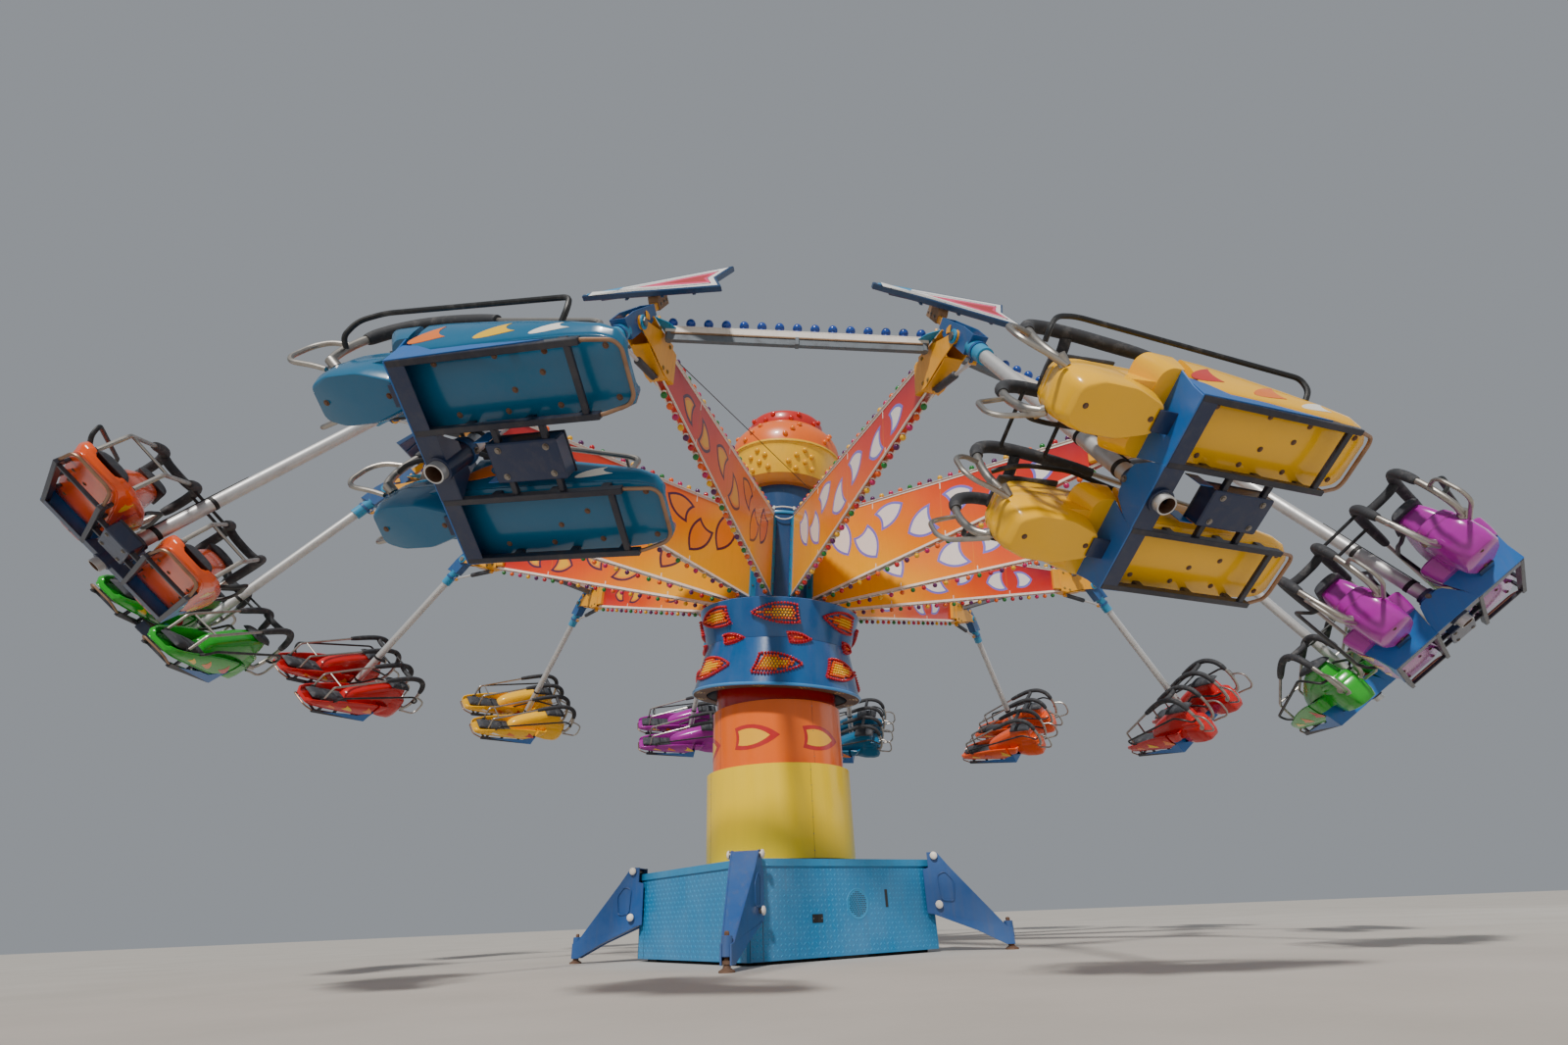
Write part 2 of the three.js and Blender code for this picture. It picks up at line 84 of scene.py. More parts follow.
def pointing(direction):
    """Turns +Z to a direction."""
    return Vector((0, 0, 1)).rotation_difference(Vector(direction)).to_matrix().to_4x4()


def around(r, degrees, z):
    """Spot at a radius, azimuth and height."""
    a = math.radians(degrees)
    return shift(r * math.cos(a), r * math.sin(a), z)


def facing_out(r, degrees, z):
    """The same spot, with +Z turned away from the axis."""
    a = math.radians(degrees)
    return around(r, degrees, z) @ pointing((math.cos(a), math.sin(a), 0))


# Shader groups

def new_group(name, inputs, outputs):
    tree = bpy.data.node_groups.new(name, "ShaderNodeTree")
    for label, kind, value in inputs:
        socket = tree.interface.new_socket(label, in_out="INPUT", socket_type=kind)
        socket.default_value = value
    for label, kind in outputs:
        tree.interface.new_socket(label, in_out="OUTPUT", socket_type=kind)
    tree.nodes.new("NodeGroupInput").name = "in"
    tree.nodes.new("NodeGroupOutput").name = "out"
    return tree


def noise(tree, scale, detail, rough=0.55, stretch=None):
    place = tree.nodes.new("ShaderNodeTexCoord").outputs["Object"]
    if stretch:
        mapping = tree.nodes.new("ShaderNodeMapping")
        mapping.inputs["Scale"].default_value = stretch
        tree.links.new(place, mapping.inputs["Vector"])
        place = mapping.outputs["Vector"]
    node = tree.nodes.new("ShaderNodeTexNoise")
    for key, value in (("Scale", scale), ("Detail", detail), ("Roughness", rough)):
        node.inputs[key].default_value = value
    tree.links.new(place, node.inputs["Vector"])
    return node.outputs["Fac"]


def ramp(tree, value, low, high, out_low=0.0, out_high=1.0):
    node = tree.nodes.new("ShaderNodeMapRange")
    for key, number in (("From Min", low), ("From Max", high), ("To Min", out_low), ("To Max", out_high)):
        node.inputs[key].default_value = number
    tree.links.new(value, node.inputs["Value"])
    return node.outputs["Result"]


def feed(tree, socket, value):
    """Sets a number or colour on a socket, or links another node's output to it."""
    if isinstance(value, (int, float, tuple)):
        socket.default_value = value
    else:
        tree.links.new(value, socket)


def maths(tree, kind, a, b):
    node = tree.nodes.new("ShaderNodeMath")
    node.operation = kind
    for socket, value in zip(node.inputs, (a, b)):
        feed(tree, socket, value)
    return node.outputs["Value"]


def times(tree, a, b):
    return maths(tree, "MULTIPLY", a, b)


def plus(tree, a, b):
    return maths(tree, "ADD", a, b)


def blend_colour(tree, factor, a, b):
    node = tree.nodes.new("ShaderNodeMix")
    node.data_type = "RGBA"
    for key, value in (("Factor", factor), (6, a), (7, b)):
        feed(tree, node.inputs[key], value)
    return node.outputs[2]


def finish_group(name, inputs):
    """Empty group with the three outputs that every finish has, its input and its output sockets."""
    outputs = (("Colour", "NodeSocketColor"), ("Roughness", "NodeSocketFloat"), ("Height", "NodeSocketFloat"))
    tree = new_group(name, inputs, outputs)
    return tree, tree.nodes["in"].outputs, tree.nodes["out"].inputs


def weather_group():
    """Sun fade, rain streaks, dust and fine orange peel over any paint colour."""
    tree, take, give = finish_group("outdoor_paint", (
        ("Paint", "NodeSocketColor", (1, 1, 1, 1)), ("Fade", "NodeSocketFloat", 0.3),
        ("Grime", "NodeSocketFloat", 0.3), ("Rough", "NodeSocketFloat", 0.3)))
    cloud = ramp(tree, noise(tree, 1.6, 6.0, 0.6), 0.35, 0.7)
    streak = ramp(tree, noise(tree, 7.0, 6.0, 0.65, (3.0, 3.0, 0.25)), 0.48, 0.78)
    fine = noise(tree, 38.0, 8.0, 0.7)
    fleck = ramp(tree, noise(tree, 130.0, 3.0, 0.6), 0.62, 0.74)
    lighter = blend_colour(tree, 0.10, take["Paint"], (0.95, 0.93, 0.88, 1))
    faded = blend_colour(tree, times(tree, cloud, take["Fade"]), take["Paint"], lighter)
    dirt = times(tree, times(tree, streak, fine), take["Grime"])
    dirty = blend_colour(tree, dirt, faded, (0.16, 0.13, 0.10, 1))
    spots = times(tree, fleck, times(tree, take["Grime"], 0.35))
    tree.links.new(blend_colour(tree, spots, dirty, (0.10, 0.08, 0.07, 1)), give["Colour"])
    rough = plus(tree, take["Rough"], times(tree, fine, 0.10))
    tree.links.new(plus(tree, rough, times(tree, dirt, 0.5)), give["Roughness"])
    peel = noise(tree, 260.0, 2.0, 0.5)
    tree.links.new(plus(tree, times(tree, peel, 0.25), times(tree, cloud, 0.5)), give["Height"])
    return tree


def metal_group():
    """Brushed or galvanised metal with stains."""
    tree, take, give = finish_group("worn_metal", (
        ("Metal", "NodeSocketColor", (1, 1, 1, 1)), ("Stain", "NodeSocketColor", (0.2, 0.14, 0.1, 1)),
        ("Wear", "NodeSocketFloat", 0.3), ("Rough", "NodeSocketFloat", 0.3)))
    brush = noise(tree, 60.0, 6.0, 0.7, (1.0, 1.0, 0.08))
    stain = ramp(tree, noise(tree, 9.0, 7.0, 0.65), 0.5, 0.72)
    tone = blend_colour(tree, times(tree, brush, 0.35), take["Metal"], (0.25, 0.25, 0.26, 1))
    tree.links.new(blend_colour(tree, times(tree, stain, take["Wear"]), tone, take["Stain"]), give["Colour"])
    rough = plus(tree, take["Rough"], times(tree, brush, 0.18))
    tree.links.new(plus(tree, rough, times(tree, stain, 0.15)), give["Roughness"])
    tree.links.new(brush, give["Height"])
    return tree


def foam_group():
    """Pores and scuffs of closed foam, rubber and coated cloth."""
    tree, take, give = finish_group("scuffed_foam", (
        ("Foam", "NodeSocketColor", (0.03, 0.03, 0.03, 1)), ("Scuff", "NodeSocketFloat", 0.3),
        ("Rough", "NodeSocketFloat", 0.6)))
    grain = noise(tree, 320.0, 4.0, 0.7)
    scuff = ramp(tree, noise(tree, 14.0, 8.0, 0.7), 0.52, 0.75)
    tone = blend_colour(tree, times(tree, scuff, take["Scuff"]), take["Foam"], (0.32, 0.31, 0.30, 1))
    tree.links.new(tone, give["Colour"])
    tree.links.new(plus(tree, take["Rough"], times(tree, grain, 0.2)), give["Roughness"])
    tree.links.new(plus(tree, grain, times(tree, scuff, 0.3)), give["Height"])
    return tree


WEATHER = weather_group()
METAL = metal_group()
FOAM = foam_group()
MATERIALS = {}


# Materials

def linear(hex_colour):
    parts = [int(hex_colour[i:i + 2], 16) / 255 for i in (0, 2, 4)]
    return tuple(c / 12.92 if c <= 0.04045 else ((c + 0.055) / 1.055) ** 2.4 for c in parts) + (1.0,)


def shell(name):
    material = bpy.data.materials.new(name)
    material.use_nodes = True
    MATERIALS[name] = material
    return material.node_tree, material.node_tree.nodes["Principled BSDF"]


def fitted(name, group, values, bump, metallic=0.0, coat=0.0, colour_from=None):
    """Material around one finish group, with its bump and its gloss."""
    tree, surface = shell(name)
    node = tree.nodes.new("ShaderNodeGroup")
    node.node_tree = group
    for key, value in values.items():
        node.inputs[key].default_value = value
    if colour_from:
        tree.links.new(colour_from(tree), node.inputs[0])
    tree.links.new(node.outputs["Colour"], surface.inputs["Base Color"])
    tree.links.new(node.outputs["Roughness"], surface.inputs["Roughness"])
    relief = tree.nodes.new("ShaderNodeBump")
    relief.inputs["Strength"].default_value = bump
    relief.inputs["Distance"].default_value = 0.002
    tree.links.new(node.outputs["Height"], relief.inputs["Height"])
    tree.links.new(relief.outputs["Normal"], surface.inputs["Normal"])
    surface.inputs["Metallic"].default_value = metallic
    surface.inputs["Coat Weight"].default_value = coat
    surface.inputs["Coat Roughness"].default_value = 0.08


def enamel(name, colour, rough, coat, fade, grime, bump=0.1, colour_from=None):
    fitted(name, WEATHER, {"Paint": linear(colour), "Fade": fade, "Grime": grime, "Rough": rough},
           bump, coat=coat, colour_from=colour_from)


def metal(name, colour, rough, wear, stain="4a3324", metallic=1.0, bump=0.1):
    fitted(name, METAL, {"Metal": linear(colour), "Stain": linear(stain), "Wear": wear, "Rough": rough},
           bump, metallic=metallic)


def foam(name, colour, rough, scuff, bump=0.5):
    fitted(name, FOAM, {"Foam": linear(colour), "Scuff": scuff, "Rough": rough}, bump)


def sweep_gradient(tree):
    """Yellow through orange and red to crimson along a sweep; U is the reach over the pivot's radius."""
    uv = tree.nodes.new("ShaderNodeUVMap")
    uv.uv_map = "layout"
    split = tree.nodes.new("ShaderNodeSeparateXYZ")
    tree.links.new(uv.outputs["UV"], split.inputs["Vector"])
    wobble = times(tree, noise(tree, 1.2, 3.0, 0.5), 0.16)
    lift = times(tree, split.outputs["Y"], 0.22)
    node = tree.nodes.new("ShaderNodeValToRGB")
    tree.links.new(plus(tree, plus(tree, split.outputs["X"], wobble), lift), node.inputs["Fac"])
    stops = ((0.30, "ffb400"), (0.44, "fc8c00"), (0.60, "f65e00"),
             (0.76, "e43004"), (0.90, "cc1010"), (1.0, "a80828"))
    while len(node.color_ramp.elements) < len(stops):
        node.color_ramp.elements.new(0.5)
    for element, (place, colour) in zip(node.color_ramp.elements, stops):
        element.position = place
        element.color = linear(colour)
    return node.outputs["Color"]


# Painted pieces: colour, roughness, coat, fading and grime
PAINTS = {
    "tread_paint": ("047cb4", 0.34, 0.15, 0.6, 0.35),
    # The raised lozenges are a lighter, glossier copy of the tread blue: painted highlight.
    "tread_highlight_blue": ("1894cc", 0.26, 0.15, 0.5, 0.3),
    "base_lip_paint": ("0a86bc", 0.32, 0.15, 0.5, 0.35),
    "outrigger_paint": ("004c90", 0.34, 0.2, 0.5, 0.5),
    # The underframe's near-black colour is painted shade for the gap under the housing.
    "underframe_shade_paint": ("141618", 0.7, 0.0, 0.35, 0.7),
    "yellow_enamel": ("ffd600", 0.18, 0.3, 0.2, 0.12),
    "orange_enamel": ("f66c00", 0.18, 0.3, 0.2, 0.12),
    "red_enamel": ("b00400", 0.14, 0.3, 0.2, 0.15),
    "drum_enamel": ("005492", 0.16, 0.3, 0.3, 0.15),
    "drum_rim_paint": ("2f86c8", 0.3, 0.3, 0.35, 0.5),
    "ring_brown": ("5a3412", 0.55, 0.0, 0.35, 0.6),
    "column_enamel": ("003e72", 0.18, 0.3, 0.3, 0.2),
    "ring_blue": ("1f90c8", 0.3, 0.3, 0.35, 0.3),
    "crown_yellow_gel": ("ffc200", 0.28, 0.3, 0.3, 0.25),
    # The crown bowl's lower band is a darker copy of the yellow gel: painted shade.
    "crown_band_shade_gel": ("c07400", 0.34, 0.3, 0.3, 0.35),
    "crown_orange_gel": ("f66c00", 0.28, 0.3, 0.3, 0.25),
    "crown_red_gel": ("cc1000", 0.26, 0.3, 0.3, 0.2),
    "caulk": ("e2b43a", 0.7, 0.0, 0.35, 0.8),
    "edge_white": ("efe6dc", 0.4, 0.1, 0.2, 0.45),
    "fin_white": ("f8f2ee", 0.3, 0.3, 0.35, 0.1),
    "fin_lavender": ("7f78dc", 0.3, 0.3, 0.35, 0.1),
    "fin_plum": ("501440", 0.3, 0.3, 0.35, 0.1),
    "fin_peach": ("f88a18", 0.3, 0.3, 0.35, 0.1),
    "fin_gold": ("fcb808", 0.3, 0.3, 0.35, 0.1),
    "leaf_crimson": ("c01418", 0.2, 0.3, 0.35, 0.1),
    "leaf_cream": ("fbd060", 0.2, 0.3, 0.35, 0.1),
    "bracket_yellow": ("f4a800", 0.36, 0.2, 0.4, 0.5),
    "bracket_blue": ("04508e", 0.34, 0.2, 0.4, 0.45),
    "bracket_sky": ("1a90c0", 0.36, 0.2, 0.4, 0.5),
    "beam_bright_blue": ("0064b4", 0.3, 0.3, 0.3, 0.3),
    # The frame's two navy copies of its blue paint, on rails, undersides and the centre box, are painted
    # shade.
    "frame_shade_navy": ("02204a", 0.32, 0.3, 0.3, 0.4),
    "rail_shade_navy": ("070e28", 0.38, 0.2, 0.4, 0.5),
    "kite_edge": ("003a68", 0.3, 0.3, 0.35, 0.3),
    "kite_sky": ("2098d0", 0.3, 0.3, 0.35, 0.2),
    "kite_white": ("f4f4f2", 0.3, 0.3, 0.35, 0.2),
    "kite_pink": ("e83c70", 0.3, 0.3, 0.35, 0.2),
    "kite_red": ("b80a1c", 0.3, 0.3, 0.35, 0.2),
    "kite_line": ("2c4a70", 0.3, 0.3, 0.35, 0.2),
    "cable_white": ("e9e6df", 0.5, 0.0, 0.35, 0.4),
    # This near-black is painted shade in the vent's holes, the slot and the gap under the outer sleeve; on
    # joints and the nameplate it is dark paint.
    "dark_paint_and_shade": ("101214", 0.5, 0.0, 0.35, 0.5),
    "brass_disc": ("9a7a2c", 0.45, 0.0, 0.35, 0.6),
    "pod_leaf_orange": ("f07a20", 0.18, 0.3, 0.35, 0.1),
    "pod_leaf_yellow": ("f6c408", 0.18, 0.3, 0.35, 0.1),
    "pod_leaf_white": ("f6f3ea", 0.18, 0.3, 0.35, 0.1),
    "pod_leaf_red": ("cc1c14", 0.18, 0.3, 0.35, 0.1),
}
POD_GELS = {
    "blue": "00648e", "orange": "f05400", "green": "06a010",
    "red": "c80402", "yellow": "ffc000", "magenta": "a810a0",
}
LAMP_CAPS = {
    "purple": "580c58", "yellow": "f4b800", "magenta": "c00860", "orange": "f06000", "green": "047c2c",
    "red": "c4041c", "blue": "0442a0", "crown_yellow": "f2b000", "crown_orange": "f27400",
    "crown_red": "d01000",
}


def make_materials():
    for name, values in PAINTS.items():
        enamel(name, *values)
    enamel("sweep_paint", "f07d16", 0.26, 0.3, 0.25, 0.15, colour_from=sweep_gradient)
    for tint, colour in POD_GELS.items():
        enamel(f"pod_{tint}_gel", colour, rough=0.18, coat=0.25, fade=0.2, grime=0.07, bump=0.03)
    for tint, colour in LAMP_CAPS.items():
        enamel(f"bulb_{tint}", colour, rough=0.16, coat=0.3, fade=0.15, grime=0.08, bump=0.04)
    metal("tube_silver", "dcdcdc", rough=0.34, wear=0.2, metallic=0.6)
    metal("bar_steel", "b9b4ac", rough=0.28, wear=0.35)
    metal("bolt_steel", "9a938a", rough=0.4, wear=0.7, stain="5a3a22")
    metal("rusty_steel", "7d5a40", rough=0.6, wear=0.9, stain="6b3314", metallic=0.6, bump=0.5)
    metal("copper_bar", "a98264", rough=0.34, wear=0.4, stain="6a4630")
    metal("tie_grey", "66707a", rough=0.55, wear=0.3, metallic=0.2)
    metal("tie_tan", "96714a", rough=0.6, wear=0.5, metallic=0.1)
    metal("strut_dark", "3c414a", rough=0.4, wear=0.4, metallic=0.6)
    metal("cable_steel", "4a4642", rough=0.5, wear=0.4)
    foam("foam_grey", "33353a", rough=0.62, scuff=0.35)
    foam("pad_grey", "3b3e45", rough=0.66, scuff=0.4)
    foam("clamp_black", "141416", rough=0.5, scuff=0.2)
    foam("guard_black", "17191c", rough=0.36, scuff=0.25, bump=0.2)


# Mesh tools

class Form:
    """Vertices and faces gathered under named finishes, turned into one mesh at the end."""

    def __init__(self):
        self.verts = []
        self.faces = []
        self.finishes = []
        self.names = []
        self.uvs = {}

    def add(self, part, finish, place=None, uv=None):
        verts, faces = part
        start = len(self.verts)
        for v in verts:
            point = Vector(v)
            self.verts.append(place @ point if place is not None else point)
        if finish not in self.names:
            self.names.append(finish)
        index = self.names.index(finish)
        for f in faces:
            self.faces.append([start + i for i in f])
            self.finishes.append(index)
        if uv:
            for i, v in enumerate(verts):
                self.uvs[start + i] = uv(v)

    def mesh(self, name, sharp=34):
        mesh = bpy.data.meshes.new(name)
        mesh.from_pydata([tuple(v) for v in self.verts], [], self.faces)
        mesh.polygons.foreach_set("material_index", self.finishes)
        work = bmesh.new()
        work.from_mesh(mesh)
        bmesh.ops.recalc_face_normals(work, faces=work.faces)
        work.to_mesh(mesh)
        work.free()
        if self.uvs:
            layer = mesh.uv_layers.new(name="layout")
            for loop in mesh.loops:
                layer.data[loop.index].uv = self.uvs.get(loop.vertex_index, (0, 0))
        mesh.shade_smooth()
        mesh.set_sharp_from_angle(angle=math.radians(sharp))
        return mesh


def set_piece(name, form, body, place=None, nodes=(), tints=None):
    """Makes the object in the row frame and rides it on its body; tints names a ready mesh's finishes."""
    mesh = form.mesh(name) if isinstance(form, Form) else form
    if place is not None:
        mesh.transform(place)
    for finish in tints or form.names:
        mesh.materials.append(MATERIALS[finish])
    piece = bpy.data.objects.new(name, mesh)
    bpy.context.scene.collection.objects.link(piece)
    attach(piece, body)
    if nodes:
        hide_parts(*nodes)
    return piece


def area(outline):
    total = 0.0
    for (ax, ay), (bx, by) in zip(outline, outline[1:] + outline[:1]):
        total += ax * by - bx * ay
    return total / 2


def wound(outline):
    """The outline in counter-clockwise order."""
    return outline if area(outline) > 0 else list(reversed(outline))


def inset(outline, amount):
    """The outline moved inward, or outward for a negative amount."""
    outline = wound(outline)
    result = []
    n = len(outline)
    for i in range(n):
        p0, p1, p2 = (Vector(outline[j % n]) for j in (i - 1, i, i + 1))
        d0, d1 = (p1 - p0).normalized(), (p2 - p1).normalized()
        n0, n1 = Vector((-d0.y, d0.x)), Vector((-d1.y, d1.x))
        middle = n0 + n1
        if middle.length < 1e-6:
            middle = n0
        middle.normalize()
        reach = amount / max(middle.dot(n0), 0.35)
        result.append(tuple(p1 + middle * reach))
    return result


def bore(radius, count, x=0.0, y=0.0):
    """Outline of a round hole."""
    angles = [2 * math.pi * i / count for i in range(count)]
    return [(x + radius * math.cos(a), y + radius * math.sin(a)) for a in angles]


def mirrored(half):
    """The points and then their images on the other side of x = 0, back to the first."""
    return half + [(-p[0], *p[1:]) for p in reversed(half)]


def upright(verts, axis):
    """Turns a shape extruded along Z so that it is extruded along another axis."""
    if axis == "y":
        return [(a, c, b) for a, b, c in verts]
    if axis == "x":
        return [(c, a, b) for a, b, c in verts]
    return verts


def lathe(profile, sides):
    """Surface of [radius, height] pairs turned about Z; a radius of 0 closes it."""
    verts, faces, rings = [], [], []
    for r, z in profile:
        angles = [math.radians(360 * j / sides) for j in range(sides if r else 1)]
        rings.append(range(len(verts), len(verts) + len(angles)))
        verts += [(r * math.cos(a), r * math.sin(a), z) for a in angles]
    for low, high in zip(rings, rings[1:]):
        if len(low) == len(high) == 1:
            continue
        for j in range(sides):
            k = (j + 1) % sides
            if len(low) == 1:
                faces.append([low[0], high[k], high[j]])
            elif len(high) == 1:
                faces.append([low[j], low[k], high[0]])
            else:
                faces.append([low[j], low[k], high[k], high[j]])
    return verts, faces


def loft(rings):
    """Closed skin over rings of points, with both ends filled."""
    n = len(rings[0])
    verts = [tuple(p) for ring in rings for p in ring]
    faces = []
    for i in range(len(rings) - 1):
        for j in range(n):
            k = (j + 1) % n
            faces.append([i * n + j, i * n + k, (i + 1) * n + k, (i + 1) * n + j])
    faces.append(list(range(n)))
    faces.append([(len(rings) - 1) * n + j for j in range(n)])
    return verts, faces


def slab(outline, low, high, bevel, axis="z"):
    """Prism from an outline of [a, b] pairs, its end edges chamfered."""
    outline = wound(outline)
    rings = [(outline, low), (outline, high)]
    if bevel:
        inner = inset(outline, bevel)
        rings = [(inner, low), (outline, low + bevel), (outline, high - bevel), (inner, high)]
    n = len(outline)
    verts = [(a, b, c) for ring, c in rings for a, b in ring]
    faces = []
    for i in range(len(rings) - 1):
        for j in range(n):
            k = (j + 1) % n
            faces.append([i * n + j, i * n + k, (i + 1) * n + k, (i + 1) * n + j])
    flat = [Vector((a, b, 0)) for a, b in rings[0][0]]
    top = (len(rings) - 1) * n
    for a, b, c in tessellate_polygon([flat]):
        faces.append([a, b, c])
        faces.append([top + a, top + b, top + c])
    return upright(verts, axis), faces


def slab_with_hole(outline, hole, low, high, axis):
    """Prism with sharp edges and one hole through it."""
    verts, faces = [], []
    loops = [outline, hole]
    n = sum(len(loop) for loop in loops)
    for c in (low, high):
        for loop in loops:
            verts += [(a, b, c) for a, b in loop]
    for tri in tessellate_polygon([[Vector((a, b, 0)) for a, b in loop] for loop in loops]):
        faces.append(list(tri))
        faces.append([i + n for i in tri])
    start = 0
    for loop in loops:
        m = len(loop)
        for j in range(m):
            k = (j + 1) % m
            faces.append([start + j, start + k, start + k + n, start + j + n])
        start += m
    return upright(verts, axis), faces


def box(x0, x1, y0, y1, z0, z1, bevel):
    bevel = min(bevel, min(abs(x1 - x0), abs(y1 - y0), abs(z1 - z0)) * 0.45)
    outline = [(x0 + bevel, y0), (x1 - bevel, y0), (x1, y0 + bevel), (x1, y1 - bevel),
               (x1 - bevel, y1), (x0 + bevel, y1), (x0, y1 - bevel), (x0, y0 + bevel)]
    return slab(outline, z0, z1, bevel)


def boxes(form, finish, rows, bevel=0.003, place=None):
    for row in rows:
        form.add(box(*row, bevel), finish, place)


def frames_along(path, closed):
    """Evenly turning cross directions at each point of a path."""
    points = [Vector(p) for p in path]
    n = len(points)
    tangents = []
    for i in range(n):
        before = points[i - 1] if (i or closed) else points[i]
        after = points[(i + 1) % n] if (i < n - 1 or closed) else points[i]
        tangents.append((after - before).normalized())
    up = Vector((0, 0, 1)) if abs(tangents[0].z) < 0.9 else Vector((1, 0, 0))
    side = tangents[0].cross(up).normalized()
    result = []
    for i in range(n):
        if i:
            side = (side - tangents[i] * side.dot(tangents[i])).normalized()
        result.append((points[i], side, side.cross(tangents[i])))
    return result


def tube(path, radius, sides, closed=False):
    """Round bar along a path; radius is one number or one for each point."""
    radii = radius if isinstance(radius, (list, tuple)) else [radius] * len(path)
    verts, faces = [], []
    for (point, side, up), r in zip(frames_along(path, closed), radii):
        for j in range(sides):
            a = 2 * math.pi * j / sides
            verts.append(tuple(point + side * math.cos(a) * r + up * math.sin(a) * r))
    n = len(path)
    for i in range(n if closed else n - 1):
        for j in range(sides):
            k = (j + 1) % sides
            a, b = i * sides, ((i + 1) % n) * sides
            faces.append([a + j, a + k, b + k, b + j])
    if not closed:
        faces.append(list(range(sides)))
        faces.append([(n - 1) * sides + j for j in range(sides)])
    return verts, faces


def smooth(points, steps):
    """Curve through the points, eased at each bend."""
    pts = [Vector(p) for p in points]
    n = len(pts)
    result = []
    for i in range(n - 1):
        p1, p2 = pts[i], pts[i + 1]
        p0 = pts[i - 1] if i else p1 + (p1 - p2)
        p3 = pts[i + 2] if i + 2 < n else p2 + (p2 - p1)
        for s in range(steps):
            t = s / steps
            result.append(0.5 * (
                2 * p1 + (p2 - p0) * t + (2 * p0 - 5 * p1 + 4 * p2 - p3) * t * t
                + (3 * p1 - p0 - 3 * p2 + p3) * t ** 3))
    result.append(pts[-1])
    return result


def rounded(points, radius, steps, closed=False):
    """Straight runs joined by arcs, as a bent bar has."""
    pts = [Vector(p) for p in points]
    n = len(pts)
    result = []
    for i in range(n):
        if not closed and i in (0, n - 1):
            result.append(pts[i])
            continue
        before, here, after = pts[i - 1], pts[i], pts[(i + 1) % n]
        cut = min(radius, (before - here).length * 0.49, (after - here).length * 0.49)
        a = here + (before - here).normalized() * cut
        b = here + (after - here).normalized() * cut
        for s in range(steps + 1):
            t = s / steps
            result.append(a * (1 - t) ** 2 + here * 2 * t * (1 - t) + b * t * t)
    return result


def joined(*parts):
    verts, faces = [], []
    for v, f in parts:
        start = len(verts)
        verts.extend(v)
        faces.extend([start + i for i in face] for face in f)
    return verts, faces


def bolt(radius, high):
    """Hexagon head on a round washer."""
    washer = lathe([(0, 0), (radius * 1.5, 0), (radius * 1.5, high * 0.25), (0, high * 0.25)], 12)
    head = lathe([(0, high * 0.2), (radius, high * 0.2), (radius, high * 0.85), (radius * 0.8, high),
                  (0, high)], 6)
    return joined(washer, head)


def cap_lamp(radius, stem, sides, tall=1.0):
    """Round cap over a short collar, pointing +Z."""
    r = radius
    profile = [(r * 0.62, -r * stem), (r * 0.62, 0), (r * 0.86, r * 0.18), (r, r * 0.55 * tall),
               (r * 0.95, r * 0.95 * tall), (r * 0.72, r * 1.38 * tall), (r * 0.36, r * 1.62 * tall),
               (0, r * 1.68 * tall)]
    return lathe(profile, sides)


# Painted shapes

def arc_points(a, b, bulge, steps):
    """Points from a to b on a bowed line; the last one is left out."""
    pa, pb = Vector(a), Vector(b)
    along = pb - pa
    side = Vector((-along.y, along.x))
    result = []
    for s in range(steps):
        t = s / steps
        p = pa + along * t + side * bulge * 4 * t * (1 - t)
        result.append((p.x, p.y))
    return result


def leaf(x, z, long, high, toward=1, cut=0.10, slant=0.0, bow=0.10):
    """Half-leaf: blunt at one end, bowed sides meeting in a point toward +1 or -1."""
    back, tip = x - toward * long / 2, x + toward * long / 2
    bow = bow * toward
    a, b, c = (back + slant, z + high / 2), (tip, z), (back - slant, z - high / 2)
    return arc_points(a, b, bow, 7) + arc_points(b, c, bow, 7) + arc_points(c, a, -cut * toward, 5)


def patch(outline, place_at, thick, lift=0.0004, step=0.06, step_up=9.0):
    """Painted shape laid on a curved wall; place_at(a, b, lift) gives the point of the wall."""
    verts, faces = [], []
    work = bmesh.new()
    work.faces.new([work.verts.new((a, b, 0)) for a, b in outline])
    for axis, cut_step in ((0, step), (1, step_up)):
        low, high = (f(p[axis] for p in outline) for f in (min, max))
        cut = low + cut_step
        while cut < high:
            spot, way = Vector((0, 0, 0)), Vector((0, 0, 0))
            spot[axis], way[axis] = cut, 1.0
            everything = work.verts[:] + work.edges[:] + work.faces[:]
            bmesh.ops.bisect_plane(work, geom=everything, plane_co=spot, plane_no=way)
            cut += cut_step
    bmesh.ops.triangulate(work, faces=work.faces[:])
    work.verts.index_update()
    for v in work.verts:
        for d in (lift + thick, lift - 0.0012):
            verts.append(place_at(v.co.x, v.co.y, d))
    for f in work.faces:
        ids = [v.index for v in f.verts]
        faces.append([2 * i for i in ids])
        faces.append([2 * i + 1 for i in reversed(ids)])
    for e in work.edges:
        if e.is_boundary:
            i, j = (v.index for v in e.verts)
            faces.append([2 * i, 2 * j, 2 * j + 1, 2 * i + 1])
    work.free()
    return verts, faces


def round_patch(outline, radius, degrees, thick):
    """Painted shape round the axis: a is the arc from the azimuth, b the height."""
    def place_at(a, b, lift):
        r = radius(b) if callable(radius) else radius
        angle = math.radians(degrees - 90) + a / r
        return ((r + lift) * math.cos(angle), (r + lift) * math.sin(angle), b)
    return patch(outline, place_at, thick)


def flat_patch(outline, level, thick, side):
    """Painted shape on a flat wall facing +Y (side 1) or -Y."""
    y0, y1 = sorted((side * (level - 0.0006), side * (level + thick)))
    return slab(outline, y0, y1, 0.0, "y")


# Base

BASE_HALF = 1.085
LIP_HALF = 1.0987
BASE_TOP = 0.8038
LIP_LOW = BASE_TOP - 0.052
CORNER = 0.020
BASE_FOOT = 0.026
WELL_R = 0.345


def octagon(half, cut):
    c = half - cut
    return [(-c, -half), (c, -half), (half, -c), (half, c), (c, half), (-c, half), (-half, c), (-half, -c)]


